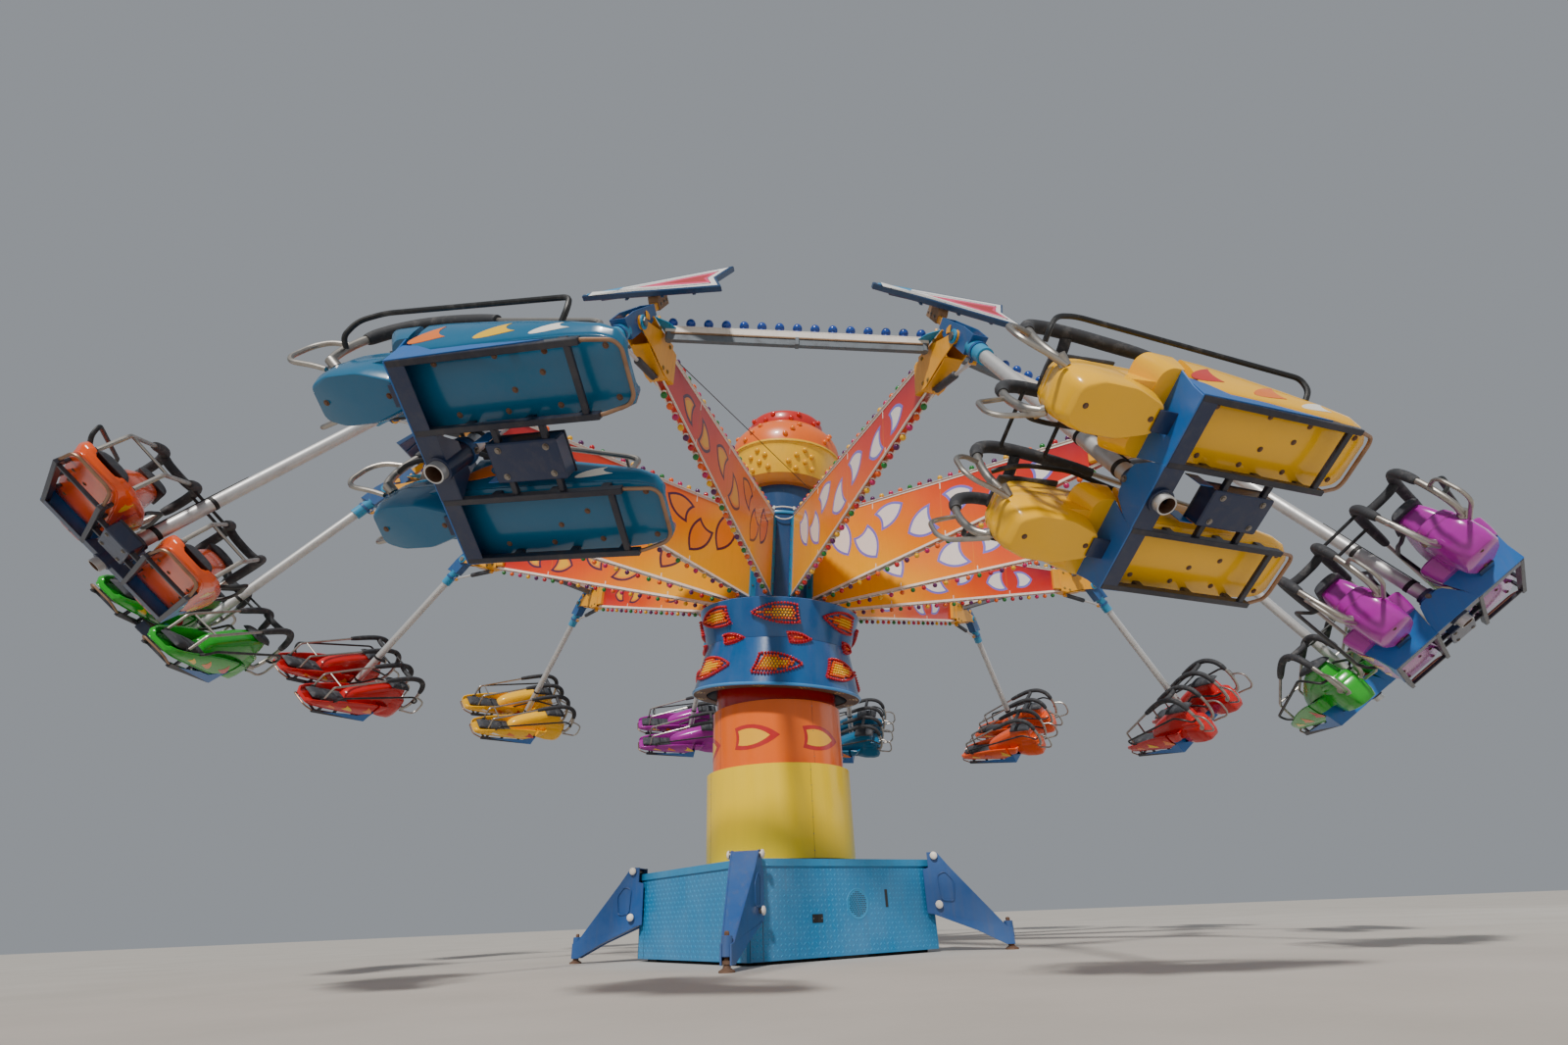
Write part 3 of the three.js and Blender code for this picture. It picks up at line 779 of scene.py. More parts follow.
def tread(form, place, half, low, high, skip):
    """Raised lozenges of tread plate, alternating in direction, on a wall of the housing, in a lighter blue
    that paints a highlight on them.
    """
    pitch, long, wide = 0.040, 0.0175, 0.0066
    columns = int(2 * half / pitch)
    rows = int((high - low) / pitch)
    corners = ((-long, 0, 0.0002), (0, -wide, 0.0002), (long, 0, 0.0002), (0, wide, 0.0002),
               (-long * 0.45, 0, -0.0030), (long * 0.45, 0, -0.0030))
    facets = ((0, 1, 4), (1, 5, 4), (1, 2, 5), (2, 3, 5), (3, 4, 5), (3, 0, 4))
    verts, faces = [], []
    for i in range(columns):
        for j in range(rows):
            x = -half + (i + 0.5) * 2 * half / columns
            z = low + (j + 0.5) * (high - low) / rows
            if any(abs(x - sx) < sw and abs(z - sz) < sh for sx, sz, sw, sh in skip):
                continue
            angle = math.radians(45 if (i + j) % 2 else -45)
            ux, uz = math.cos(angle), math.sin(angle)
            start = len(verts)
            verts += [(x + ux * a - uz * b, d, z + uz * a + ux * b) for a, b, d in corners]
            faces += [[start + n for n in facet] for facet in facets]
    form.add((verts, faces), "tread_highlight_blue", place)


def vent(form, place):
    """Round perforated vent: a pressed ring, a plate and its holes, which are dark discs of painted shade."""
    rim = [(0.112, 0.0), (0.118, 0.003), (0.126, 0.003), (0.130, 0.0), (0.112, 0.0)]
    form.add(lathe(rim, 40), "base_lip_paint", place)
    form.add(lathe([(0, 0.0006), (0.113, 0.0006), (0.113, 0.0)], 40), "base_lip_paint", place)
    step, reach = 0.0185, range(-7, 8)
    for i in reach:
        for j in reach:
            x, z = (i + (j % 2) * 0.5) * step, j * step * 0.88
            if math.hypot(x, z) < 0.100:
                hole = lathe([(0, 0.0012), (0.0062, 0.0012), (0.0062, 0.0004)], 8)
                form.add(hole, "dark_paint_and_shade", place @ shift(x, z, 0))


def build_base():
    form = Form()
    well = bore(WELL_R, 64)
    form.add(slab_with_hole(octagon(BASE_HALF, CORNER), well, BASE_FOOT, LIP_LOW - 0.005, "z"), "tread_paint")
    plan = octagon(LIP_HALF, CORNER + 0.008)
    form.add(slab_with_hole(plan, well, LIP_LOW - 0.006, BASE_TOP, "z"), "base_lip_paint")
    rim = [(x, y, LIP_LOW - 0.006) for x, y in octagon(LIP_HALF - 0.005, CORNER + 0.006)]
    form.add(tube(rim, 0.005, 8, closed=True), "base_lip_paint")
    vent_x, vent_z = 0.105, 0.43
    slot_x, slot_z = 0.455, 0.47
    plate_x, plate_z = -0.36, 0.325
    clear = ((vent_x, vent_z, 0.125, 0.145), (slot_x, slot_z, 0.03, 0.09), (plate_x, plate_z, 0.07, 0.05))
    flat = BASE_HALF - CORNER
    for k in range(4):
        place = turn(90 * k, "Z") @ shift(0, -BASE_HALF, 0)
        tread(form, place, flat - 0.012, BASE_FOOT + 0.012, LIP_LOW - 0.016, clear if k == 0 else ())
        if k in (0, 3):
            # upright joints of the wall sheets
            seams = [(x - flat, x - flat + 0.004, -0.0014, 0.001, 0.03, LIP_LOW - 0.014)
                     for x in (0.13, 0.002)]
            boxes(form, "dark_paint_and_shade", seams, 0.0005, place)
    front = shift(0, -BASE_HALF, 0)
    vent(form, front @ shift(vent_x, 0, vent_z) @ turn(90, "X"))
    # The slot is a dark box of painted shade; the nameplate is a dark plate.
    marks = ((slot_x, slot_z, 0.016, 0.075), (plate_x, plate_z, 0.058, 0.034))
    plates = [(x - a, x + a, -0.004, 0.0, z - b, z + b) for x, z, a, b in marks]
    boxes(form, "dark_paint_and_shade", plates, 0.002, front)
    for x in (-0.046, 0.046):
        spot = front @ shift(plate_x + x, -0.004, plate_z) @ turn(90, "X")
        form.add(bolt(0.004, 0.003), "bolt_steel", spot)
    # dark ring under the outer sleeve and its bolts
    low, high = BASE_TOP - 0.02, BASE_TOP + 0.012
    form.add(lathe([(WELL_R, low), (0.758, low), (0.758, high), (WELL_R, high)], 64), "dark_paint_and_shade")
    for k in range(36):
        form.add(bolt(0.011, 0.014), "bolt_steel", around(0.772, 10 * k, BASE_TOP))
    rivet = lathe([(0.006, 0), (0.0055, 0.002), (0, 0.003)], 8)
    for k in range(4):
        place = turn(90 * k, "Z") @ shift(0, -LIP_HALF, LIP_LOW + 0.022)
        for i in range(9):
            form.add(rivet, "base_lip_paint", place @ shift(-0.88 + 0.22 * i, 0, 0) @ turn(90, "X"))
    set_piece("housing", form, "base", nodes=["base_housing"])


def build_runners():
    # Runners in near-black: their colour is painted shade for the gap under the housing.
    form = Form()
    half = BASE_HALF - 0.030
    for s in (-1, 1):
        outer, middle, end = s * (half - 0.28), s * (half - 0.13), s * (half - 0.08)
        boxes(form, "underframe_shade_paint", [
            (-half, half, outer - 0.08, outer + 0.08, 0.0, 0.118),
            (-half + 0.06, half - 0.06, middle - 0.07, middle + 0.07, 0.0, 0.06),
            (end - 0.03, end + 0.03, -half + 0.06, half - 0.06, 0.0, 0.05)], 0.006)
    form.add(box(-0.22, 0.22, -half, half, 0.0, 0.06, 0.006), "underframe_shade_paint")
    for s in (-1, 1):
        for i in range(7):
            form.add(bolt(0.012, 0.012), "bolt_steel", shift(-0.9 + 0.3 * i, s * (half - 0.36), 0.118))
    set_piece("underframe", form, "base", nodes=["base_underframe"])


def outrigger_half_width(r):
    if r < 1.66:
        return 0.130 - (r - 1.45) * 0.03
    return 0.124 - (r - 1.66) / (2.234 - 1.66) * 0.078


def build_outrigger(number, degrees):
    form = Form()
    root = 1.4496
    side = [(root + 0.002, 0.330), (root + 0.06, 0.318), (1.905, 0.168), (2.156, 0.046), (2.234, 0.046),
            (2.234, 0.182), (2.180, 0.196), (1.720, 0.716), (1.610, 0.854), (1.590, 0.866), (1.505, 0.866),
            (1.505, 0.728), (root + 0.002, 0.712)]
    rib = rounded([(1.60, 0, 0.44), (1.585, 0, 0.66), (1.66, 0, 0.69), (1.74, 0, 0.60), (1.72, 0, 0.43)],
                  0.03, 4, True)
    for s in (-1, 1):
        verts, faces = slab(side, -0.007, 0.007, 0.002, "y")
        verts = [(x, s * (outrigger_half_width(x) - 0.008) + y, z) for x, y, z in verts]
        form.add((verts, faces), "outrigger_paint")
        # pressed stiffening rib on each cheek
        line = [(p.x, s * (outrigger_half_width(p.x) + 0.0005), p.z) for p in rib]
        form.add(tube(line, 0.004, 6, closed=True), "outrigger_paint")
    # top and bottom webs between the cheeks
    top = [(1.505, 0.862), (1.590, 0.860), (1.610, 0.848), (1.720, 0.708), (2.180, 0.190)]
    low = [(1.530, 0.321), (1.905, 0.176), (2.156, 0.054)]
    for line, drop in ((top, -0.008), (low, 0.008)):
        rings = []
        for r, z in line:
            w = outrigger_half_width(r) - 0.004
            rings.append([(r, -w, z), (r, w, z), (r, w, z + drop), (r, -w, z + drop)])
        form.add(loft(rings), "outrigger_paint")
    form.add(box(1.528, 1.544, -0.115, 0.115, 0.35, 0.70, 0.006), "outrigger_paint")
    # hinge pins at the housing corner and their white caps
    hinge_x = 1.572
    cap = [(0, -0.006), (0.036, -0.006), (0.036, 0.006), (0.030, 0.014), (0.014, 0.020), (0, 0.021)]
    for z in (0.832, 0.400):
        form.add(tube([(hinge_x, -0.148, z), (hinge_x, 0.148, z)], 0.024, 14), "bolt_steel")
        for s in (-1, 1):
            form.add(lathe(cap, 18), "edge_white", shift(hinge_x, s * 0.146, z) @ turn(-90 * s, "X"))
    # jack screw, sleeve and rusty foot
    foot = [(0, 0.0), (0.062, 0.0), (0.062, 0.012), (0.050, 0.018),
            (0.030, 0.030), (0.030, 0.044), (0, 0.044)]
    screw = [(0, 0.03), (0.022, 0.03), (0.022, 0.21), (0, 0.212)]
    sleeve = [(0.036, 0.10), (0.042, 0.104), (0.042, 0.236), (0.036, 0.24), (0.024, 0.24)]
    nut = [(0, 0.052), (0.036, 0.052), (0.036, 0.076), (0, 0.078)]
    head = [(0, 0.238), (0.020, 0.238), (0.020, 0.262), (0.012, 0.27), (0, 0.27)]
    at = shift(2.200, 0, 0)
    for profile, sides, finish in ((foot, 24, "rusty_steel"), (screw, 16, "rusty_steel"),
                                   (sleeve, 20, "outrigger_paint"), (nut, 6, "rusty_steel"),
                                   (head, 6, "rusty_steel")):
        form.add(lathe(profile, sides), finish, at)
    for i in range(9):
        z = 0.078 + 0.0025 * i
        form.add(lathe([(0.022, z), (0.0245, z + 0.001), (0.022, z + 0.002)], 16), "rusty_steel", at)
    set_piece(f"folding_arm_{number}", form, "base", turn(degrees - 90, "Z"),
              [f"outrigger_{number}"])


# Mast sleeves and leaning head

def sleeve_wall(r, low, top, edge=0.003):
    return lathe([(r - edge, low), (r, low + edge), (r, top - 0.003), (r - 0.003, top), (r - 0.012, top),
                  (r - 0.012, low), (r - edge, low)], 128)


def sleeve_seams(form, r, low, top, first, heights):
    """Four upright joints of the wrapped sheet, each with a row of screws."""
    seam = [(-0.0012, low), (0.0012, low), (0.0012, top), (-0.0012, top)]
    screw = lathe([(0.0058, 0), (0.005, 0.002), (0, 0.003)], 10)
    for degrees in range(first, first + 360, 90):
        form.add(round_patch(seam, r, degrees, 0.0003), "dark_paint_and_shade")
        for z in heights:
            form.add(screw, "bolt_steel", facing_out(r + 0.0005, degrees - 90, z))


def build_sleeves():
    form = Form()
    r, low, top = 0.780, BASE_TOP + 0.030, 1.721
    form.add(sleeve_wall(r, low, top, 0.004), "yellow_enamel")
    # Dark ring inside the sleeve's foot: painted shade seen through the gap above the base.
    foot, high = BASE_TOP + 0.001, low + 0.05
    gap_shade = [(0.745, foot), (0.757, foot), (0.757, high), (0.745, high), (0.745, foot)]
    form.add(lathe(gap_shade, 96), "dark_paint_and_shade")
    sleeve_seams(form, r, low, top, -9, [low + 0.07 + i * 0.15 for i in range(6)])
    set_piece("sleeve_outer", form, "base", nodes=["yellow_sleeve"])

    form = Form()
    r, low, top = 0.716, 1.450, 2.382
    form.add(sleeve_wall(r, low, top), "orange_enamel")
    guide = [(0.293, 0.70), (0.330, 0.70), (0.330, 1.449), (r - 0.012, 1.449), (r - 0.012, 1.464),
             (0.293, 1.464), (0.293, 0.70)]
    form.add(lathe(guide, 64), "orange_enamel")
    for k in range(6):
        z, degrees = 2.000 + (0.012 if k % 2 else -0.01), 60 * k + 8.3
        form.add(round_patch(leaf(0, z, 0.51, 0.22, bow=0.12), r, degrees, 0.0008), "leaf_crimson")
        form.add(round_patch(leaf(-0.030, z, 0.36, 0.145, bow=0.12), r, degrees, 0.0014), "fin_gold")
    sleeve_seams(form, r, low, top, -2, [1.80 + i * 0.26 for i in range(3)])
    set_piece("sleeve_middle", form, "cover", nodes=["orange_sleeve"])

    form = Form()
    r, low, top = 0.677, 2.100, 2.720
    form.add(sleeve_wall(r, low, top), "red_enamel")
    guide = [(0.262, 1.35), (0.292, 1.35), (0.292, 2.099), (r - 0.012, 2.099), (r - 0.012, 2.114),
             (0.292, 2.114), (0.292, 2.39), (0, 2.39), (0, 2.35), (0.262, 2.35), (0.262, 1.35)]
    form.add(lathe(guide, 64), "red_enamel")
    lug = [(-0.110, 2.350), (0.110, 2.350), (0.070, 2.540), (-0.070, 2.540)]
    for x in (-0.195, 0.195):
        form.add(slab_with_hole(lug, bore(0.0455, 20, 0, LEAN_Z), x - 0.030, x + 0.030, "x"), "red_enamel")
    for k in range(24):
        form.add(bolt(0.010, 0.010), "bolt_steel", around(0.45, 15 * k, 2.114))
    set_piece("sleeve_inner", form, "mast", nodes=["red_sleeve"])


def build_head():
    form = Form()
    table = [(0, 3.10), (0.545, 3.10), (0.560, 3.115), (0.560, 3.175), (0.545, 3.1895), (0, 3.1895)]
    form.add(lathe(table, 72), "tube_silver")
    form.add(lathe([(0, 2.625), (0.185, 2.625), (0.19, 2.63), (0.322, 3.10), (0, 3.11)], 48), "tube_silver")
    form.add(box(-0.158, 0.158, -0.080, 0.080, 2.42, 2.66, 0.008), "tube_silver")
    form.add(tube([(-0.290, 0, LEAN_Z), (0.290, 0, LEAN_Z)], 0.0445, 24), "bolt_steel")
    for s in (-1, 1):
        spot = shift(s * 0.232, 0, LEAN_Z) @ turn(90 * s, "Y")
        form.add(lathe([(0, 0), (0.062, 0), (0.062, 0.016), (0, 0.018)], 24), "bolt_steel", spot)
    for k in range(24):
        form.add(bolt(0.014, 0.012), "bolt_steel", around(0.50, 15 * k, 3.10) @ turn(180, "X"))
    set_piece("lean_head", form, "head", ROTOR, ["tilt_head"])


# Collar and column

RIM_R, RIM_Z = 0.961, 2.561
WAIST_R, WAIST_Z = 0.834, 3.098
DRUM_R, DRUM_TOP = 0.943, 3.519


def collar_radius(z):
    if z < WAIST_Z:
        t = (z - RIM_Z) / (WAIST_Z - RIM_Z)
        return RIM_R - 0.012 + (WAIST_R - RIM_R + 0.012) * t
    t = (z - WAIST_Z) / (DRUM_TOP - WAIST_Z)
    return WAIST_R + (DRUM_R - WAIST_R) * t


def depth_inside(point, outline):
    """Distance from a point to the outline's edge, or 0 outside it."""
    x, y = point
    hit, best = False, 9.0
    for (ax, ay), (bx, by) in zip(outline, outline[1:] + outline[:1]):
        if (ay > y) != (by > y) and x < (bx - ax) * (y - ay) / (by - ay) + ax:
            hit = not hit
        start, way = Vector((ax, ay)), Vector((bx - ax, by - ay))
        offset = Vector(point) - start
        t = max(0.0, min(1.0, offset.dot(way) / max(way.length_squared, 1e-9)))
        best = min(best, (offset - way * t).length)
    return best if hit else 0.0


def lamp_leaf(form, z, degrees, long, high, toward, slant):
    """Leaf of cap lamps, close together: a red row along its edge, then orange, yellow in the middle."""
    pitch, radius = 0.0335, 0.0155
    outline = leaf(0, z, long, high, toward, 0.05, slant)
    form.add(round_patch(outline, collar_radius, degrees, 0.0008), "leaf_crimson")
    ring = inset(outline, radius)
    spots, carry = [], 0.0
    for a, b in zip(ring, ring[1:] + ring[:1]):
        reach = math.dist(a, b)
        while carry < reach:
            t = carry / reach
            spots.append((a[0] + (b[0] - a[0]) * t, a[1] + (b[1] - a[1]) * t, 0.0))
            carry += pitch
        carry -= reach
    for j in range(int(high / pitch) + 3):
        for i in range(int(long / pitch) + 3):
            x = (i - long / pitch / 2 - 1 + 0.5 * (j % 2)) * pitch
            h = z + (j - high / pitch / 2 - 1) * pitch * 0.87
            depth = depth_inside((x, h), outline)
            if depth > radius + pitch * 0.86:
                spots.append((x, h, depth))
    for x, h, depth in spots:
        tint = "red" if depth < 0.03 else ("orange" if depth < 0.074 else "yellow")
        r = collar_radius(h)
        angle = math.radians(degrees - 90) + x / r
        slope = (collar_radius(h + 0.01) - collar_radius(h - 0.01)) / 0.02
        out = Vector((math.cos(angle), math.sin(angle), -slope)).normalized()
        spot = shift(r * math.cos(angle), r * math.sin(angle), h) @ pointing(out)
        form.add(cap_lamp(radius, 0.3, 8, 1.6), f"bulb_{tint}", spot)


def build_collar():
    form = Form()
    skirt = [(RIM_R - 0.020, RIM_Z + 0.024), (WAIST_R - 0.012, WAIST_Z + 0.002), (WAIST_R, WAIST_Z - 0.001),
             (RIM_R - 0.010, RIM_Z + 0.034), (RIM_R - 0.020, RIM_Z + 0.024)]
    form.add(lathe(skirt, 128), "drum_enamel")
    lip = [(RIM_R - 0.012, RIM_Z + 0.002), (RIM_R, RIM_Z + 0.002), (RIM_R + 0.006, RIM_Z + 0.010),
           (RIM_R + 0.006, RIM_Z + 0.024), (RIM_R - 0.002, RIM_Z + 0.034), (RIM_R - 0.010, RIM_Z + 0.036),
           (RIM_R - 0.012, RIM_Z + 0.002)]
    form.add(lathe(lip, 128), "drum_rim_paint")
    low, deep, ring_r = RIM_Z + 0.001, RIM_Z + 0.012, 0.949
    ring = [(0.805, low), (ring_r, low), (ring_r, deep), (0.805, deep), (0.805, low)]
    form.add(lathe(ring, 128), "ring_brown")
    # small cream dots in wedges under the rim
    dot = lathe([(0.010, 0.0), (0.010, 0.0015), (0, 0.0015)], 10)
    for k in range(12):
        for dr, da in ((0.030, -3.2), (0.030, 0), (0.030, 3.2), (0.062, -1.6), (0.062, 1.6), (0.100, 0)):
            form.add(dot, "leaf_cream", around(ring_r - dr, 30 * k + 15 + da, low) @ turn(180, "X"))
    set_piece("collar_skirt", form, "rotor", ROTOR, ["hub_skirt"])

    form = Form()
    top = [(0.62, WAIST_Z + 0.001), (WAIST_R, WAIST_Z + 0.001), (DRUM_R - 0.001, DRUM_TOP - 0.018),
           (DRUM_R, DRUM_TOP - 0.010), (DRUM_R - 0.008, DRUM_TOP - 0.001), (DRUM_R - 0.020, DRUM_TOP),
           (0.45, DRUM_TOP)]
    form.add(lathe(top, 128), "drum_enamel")
    form.add(lathe([(0.62, WAIST_Z + 0.001), (0.62, 3.190), (0, 3.190)], 96), "drum_enamel")
    bead = [(WAIST_R - 0.002, WAIST_Z - 0.004), (WAIST_R + 0.003, WAIST_Z),
            (WAIST_R - 0.002, WAIST_Z + 0.004)]
    form.add(lathe(bead, 128), "column_enamel")
    set_piece("collar_top", form, "rotor", ROTOR, ["hub_drum"])

    lamps = Form()
    for k in range(7):
        turned = 360 / 7 * k
        lamp_leaf(lamps, 3.352, turned - 37, 0.56, 0.205, -1, -0.02)
        lamp_leaf(lamps, 3.095, turned - 17, 0.29, 0.125, 1, -0.02)
        lamp_leaf(lamps, 2.800, turned - 32, 0.55, 0.235, 1, 0.05)
    set_piece("collar_lamps", lamps, "rotor", ROTOR)


def build_leads():
    """White bar and slack white lead under the crown, between the first and the last sweep."""
    place = ROTOR @ turn(-32.4, "Z")
    form = Form()
    bar = [(-0.165, -0.458, 4.752), (-0.02, -0.488, 4.766), (0.165, -0.458, 4.760)]
    form.add(tube(smooth(bar, 6), 0.009, 8), "cable_white")
    clips = [(x - 0.012, x + 0.012, -0.476, -0.435, 4.738, 4.780) for x in (-0.12, 0.12)]
    clips += [(x - 0.010, x + 0.010, -0.448, -0.405, 4.726, 4.744) for x in (-0.185, 0.185)]
    boxes(form, "cable_white", clips)
    set_piece("neck_bar", form, "rotor", place)

    form = Form()
    thick = 0.015
    half = ((0.185, -0.435, 4.727), (0.160, -0.462, 4.698), (0.102, -0.486, 4.638), (0.050, -0.497, 4.608))
    route = smooth([(-x, y, z) for x, y, z in half] + [(0.0, -0.500, 4.600)] + list(reversed(half)), 5)
    form.add(tube(route, thick / 2, 10), "cable_white")
    lead = set_piece("neck_lead", form, "rotor", place)
    route = [place @ Vector(p) for p in route]
    length = sum((b - a).length for a, b in zip(route, route[1:]))
    tuple(route[0])
    [tuple(p) for p in route]


def build_column():
    form = Form()
    r, ring_r, ring_z = 0.456, 0.475, 4.690
    low, high = DRUM_TOP + 0.0003, 5.075
    trunk = [(r + 0.05, low), (r + 0.05, low + 0.012), (r, low + 0.014), (r, ring_z), (r, high), (0, high)]
    form.add(lathe(trunk, 96), "column_enamel")
    ring = [(r, ring_z), (0.472, 4.692), (ring_r, 4.698), (ring_r, 4.720), (0.472, 4.726), (r, 4.728)]
    form.add(lathe(ring, 96), "ring_blue")
    for k in range(ARMS):
        place = turn(azimuth(k + 1) - 90, "Z")
        # sky-blue angle irons that hold each sweep root
        irons = [(0.449, 0.540, y - 0.004, y + 0.004, 3.66, 4.64) for y in (-0.0275, 0.0275)]
        boxes(form, "bracket_sky", irons, 0.002, place)
        for i in range(5):
            for s in (-1, 1):
                spot = place @ shift(0.50, s * 0.0315, 3.80 + 0.18 * i) @ turn(-90 * s, "X")
                form.add(bolt(0.009, 0.008), "bolt_steel", spot)
    for k in range(4):
        form.add(bolt(0.010, 0.010), "bolt_steel", facing_out(ring_r, 90 * k + 20, 4.708))
    set_piece("column", form, "rotor", ROTOR, ["hub_column"])


# Crown

def profile_radius(profile, z):
    """Radius and slope of a turned profile at a height."""
    for (r0, z0), (r1, z1) in zip(profile, profile[1:]):
        if r0 and r1 and z0 < z1 and z0 <= z <= z1:
            return r0 + (r1 - r0) * (z - z0) / (z1 - z0), (r1 - r0) / (z1 - z0)


def crown_lamps(form, profile, low, high, tint, spots, clusters, start):
    """Lamps of the shell's own colour in loose leaf-shaped clusters."""
    cap = [(0.028, -0.004), (0.034, 0.003), (0.033, 0.014), (0.026, 0.026), (0.013, 0.033), (0, 0.034)]
    for k in range(clusters):
        for x, t in spots:
            z = low + (high - low) * t
            r, slope = profile_radius(profile, z)
            angle = math.radians(360 / clusters * k + start) + x / r
            out = Vector((math.cos(angle), math.sin(angle), -slope)).normalized()
            spot = shift(r * math.cos(angle), r * math.sin(angle), z) @ pointing(out)
            form.add(lathe(cap, 12), f"bulb_{tint}", spot)


def caulk_bead(form):
    """Uneven bead of sealant on the flange, thicker on one side."""
    draw = random.Random(5)
    path, radii = [], []
    for i in range(120):
        a = 2 * math.pi * i / 120
        path.append((0.7035 * math.cos(a), 0.7035 * math.sin(a), 5.5545 + draw.uniform(-0.002, 0.002)))
        thick = 0.0035 + max(0.0, math.cos(a + 0.9)) * 0.006
        radii.append(thick * draw.uniform(0.6, 1.3))
    form.add(tube(path, radii, 6, closed=True), "caulk")


def build_crown():
    bowl = [(0.0, 5.0755), (0.545, 5.0755), (0.553, 5.081), (0.582, 5.130), (0.603, 5.175), (0.628, 5.250),
            (0.648, 5.330), (0.664, 5.410), (0.675, 5.480), (0.683, 5.530), (0.690, 5.540), (0.700, 5.545),
            (0.7005, 5.5545), (0, 5.5547)]
    form = Form()
    # The lower band takes the darker copy of the yellow gel: painted shade.
    form.add(lathe(bowl[:5], 96), "crown_band_shade_gel")
    form.add(lathe(bowl[4:], 96), "crown_yellow_gel")
    leafy = ((-0.19, 0.30), (-0.10, 0.62), (-0.09, 0.02), (0.0, 0.90),
             (0.02, 0.34), (0.10, 0.64), (0.13, 0.08))
    crown_lamps(form, bowl, 5.225, 5.490, "crown_yellow", leafy, 7, 0)
    set_piece("crown_lower", form, "rotor", ROTOR, ["crown_bowl"])

    dome = [(0, 5.5555), (0.700, 5.5555), (0.7065, 5.559), (0.7065, 5.578), (0.701, 5.583), (0.700, 5.62),
            (0.692, 5.69), (0.672, 5.755), (0.640, 5.815), (0.600, 5.865), (0.552, 5.908), (0.508, 5.940),
            (0.500, 5.9505), (0, 5.9507)]
    form = Form()
    form.add(lathe(dome[:5], 96), "crown_yellow_gel")
    form.add(lathe(dome[4:], 96), "crown_orange_gel")
    caulk_bead(form)
    crown_lamps(form, dome, 5.640, 5.830, "crown_orange", ((-0.09, 0.05), (0.0, 0.50), (0.09, 0.95)), 8, 18)
    set_piece("crown_middle", form, "rotor", ROTOR, ["crown_dome"])

    cap = [(0, 5.9515), (0.482, 5.9515), (0.484, 5.955), (0.480, 6.020), (0.474, 6.070), (0.462, 6.100),
           (0.442, 6.122), (0.415, 6.136), (0.380, 6.1415), (0.2, 6.149), (0, 6.153)]
    form = Form()
    form.add(lathe(cap, 96), "crown_red_gel")
    crown_lamps(form, cap, 5.995, 6.060, "crown_red", ((-0.05, 0.0), (0.05, 1.0)), 9, 9)
    set_piece("crown_upper", form, "rotor", ROTOR, ["crown_cap"])


# Sweeps

ROOT_R, ROOT_LOW, ROOT_HIGH = 0.547, 3.644, 4.661
TIP_R, TIP_LOW, TIP_HIGH = 3.974, 4.314, 4.636
PANEL_HALF = 0.022
CHEEK_IN, CHEEK_OUT = 0.0705, 0.0775
PIN_BORE = 0.0268


def sweep_edge(r, high):
    t = (r - ROOT_R) / (TIP_R - ROOT_R)
    if high:
        return ROOT_HIGH + (TIP_HIGH - ROOT_HIGH) * t
    return ROOT_LOW + (TIP_LOW - ROOT_LOW) * t


def sweep_layout(v):
    """Reach and height on the panel, which its colour gradient follows."""
    low, high = sweep_edge(v[0], False), sweep_edge(v[0], True)
    return v[0] / PIVOT_R, (v[2] - low) / max(high - low, 0.01) - 0.5


def fin(r, t, long, high, lean, toward):
    """Fin outline in the sweep's plane: a bowed back and a hollow front, turned by lean."""
    z = sweep_edge(r, False) + (sweep_edge(r, True) - sweep_edge(r, False)) * t
    a, b, c = (-long / 2, -high / 2), (long / 2, 0.0), (-long / 2, high / 2)
    points = arc_points(a, b, -0.17, 8) + arc_points(b, c, -0.17, 8) + arc_points(c, a, 0.16, 8)
    cos, sin = math.cos(math.radians(lean)), math.sin(math.radians(lean))
    return [(r + toward * (x * cos - y * sin), z + x * sin + y * cos) for x, y in points]


def sweep_panel(form):
    """Tapered panel, its root plate, the white flanges along both edges and the panel joints."""
    rings = []
    for i in range(25):
        r = ROOT_R + (TIP_R - ROOT_R) * i / 24
        low, high = sweep_edge(r, False), sweep_edge(r, True)
        levels = [low + (high - low) * t for t in (0.0, 0.25, 0.5, 0.75, 1.0)]
        rings.append([(r, PANEL_HALF, z) for z in levels] + [(r, -PANEL_HALF, z) for z in reversed(levels)])
    form.add(loft(rings), "sweep_paint", uv=sweep_layout)
    form.add(box(0.4565, 0.548, -PANEL_HALF, PANEL_HALF, ROOT_LOW, ROOT_HIGH, 0.004), "bracket_sky")
    for s in (1, -1):
        a = Vector((ROOT_R, 0, sweep_edge(ROOT_R, s > 0)))
        b = Vector((TIP_R, 0, sweep_edge(TIP_R, s > 0)))
        n = Vector((-(b - a).z, 0, (b - a).x)).normalized() * s
        for y0, y1, drop in ((-0.038, 0.038, -0.005), (0.022, 0.027, -0.030), (-0.027, -0.022, -0.030)):
            quad = [a, b, b + n * drop, a + n * drop]
            form.add(slab([(p.x, p.z) for p in quad], y0, y1, 0.001, "y"), "edge_white")
    for r in (1.42, 2.30, 3.15):
        low, high = sweep_edge(r, False), sweep_edge(r, True)
        for s in (-1, 1):
            for a, b, c, d, thick, finish in (
                    (-0.0012, 0.0012, low, high, 0.0004, "bracket_yellow"),
                    (-0.006, 0.006, high - 0.10, high - 0.03, 0.0016, "edge_white"),
                    (0.03, 0.042, low + 0.03, low + 0.085, 0.0016, "edge_white")):
                strip = [(r + a, c), (r + b, c), (r + b, d), (r + a, d)]
                form.add(flat_patch(strip, PANEL_HALF, thick, s), finish)


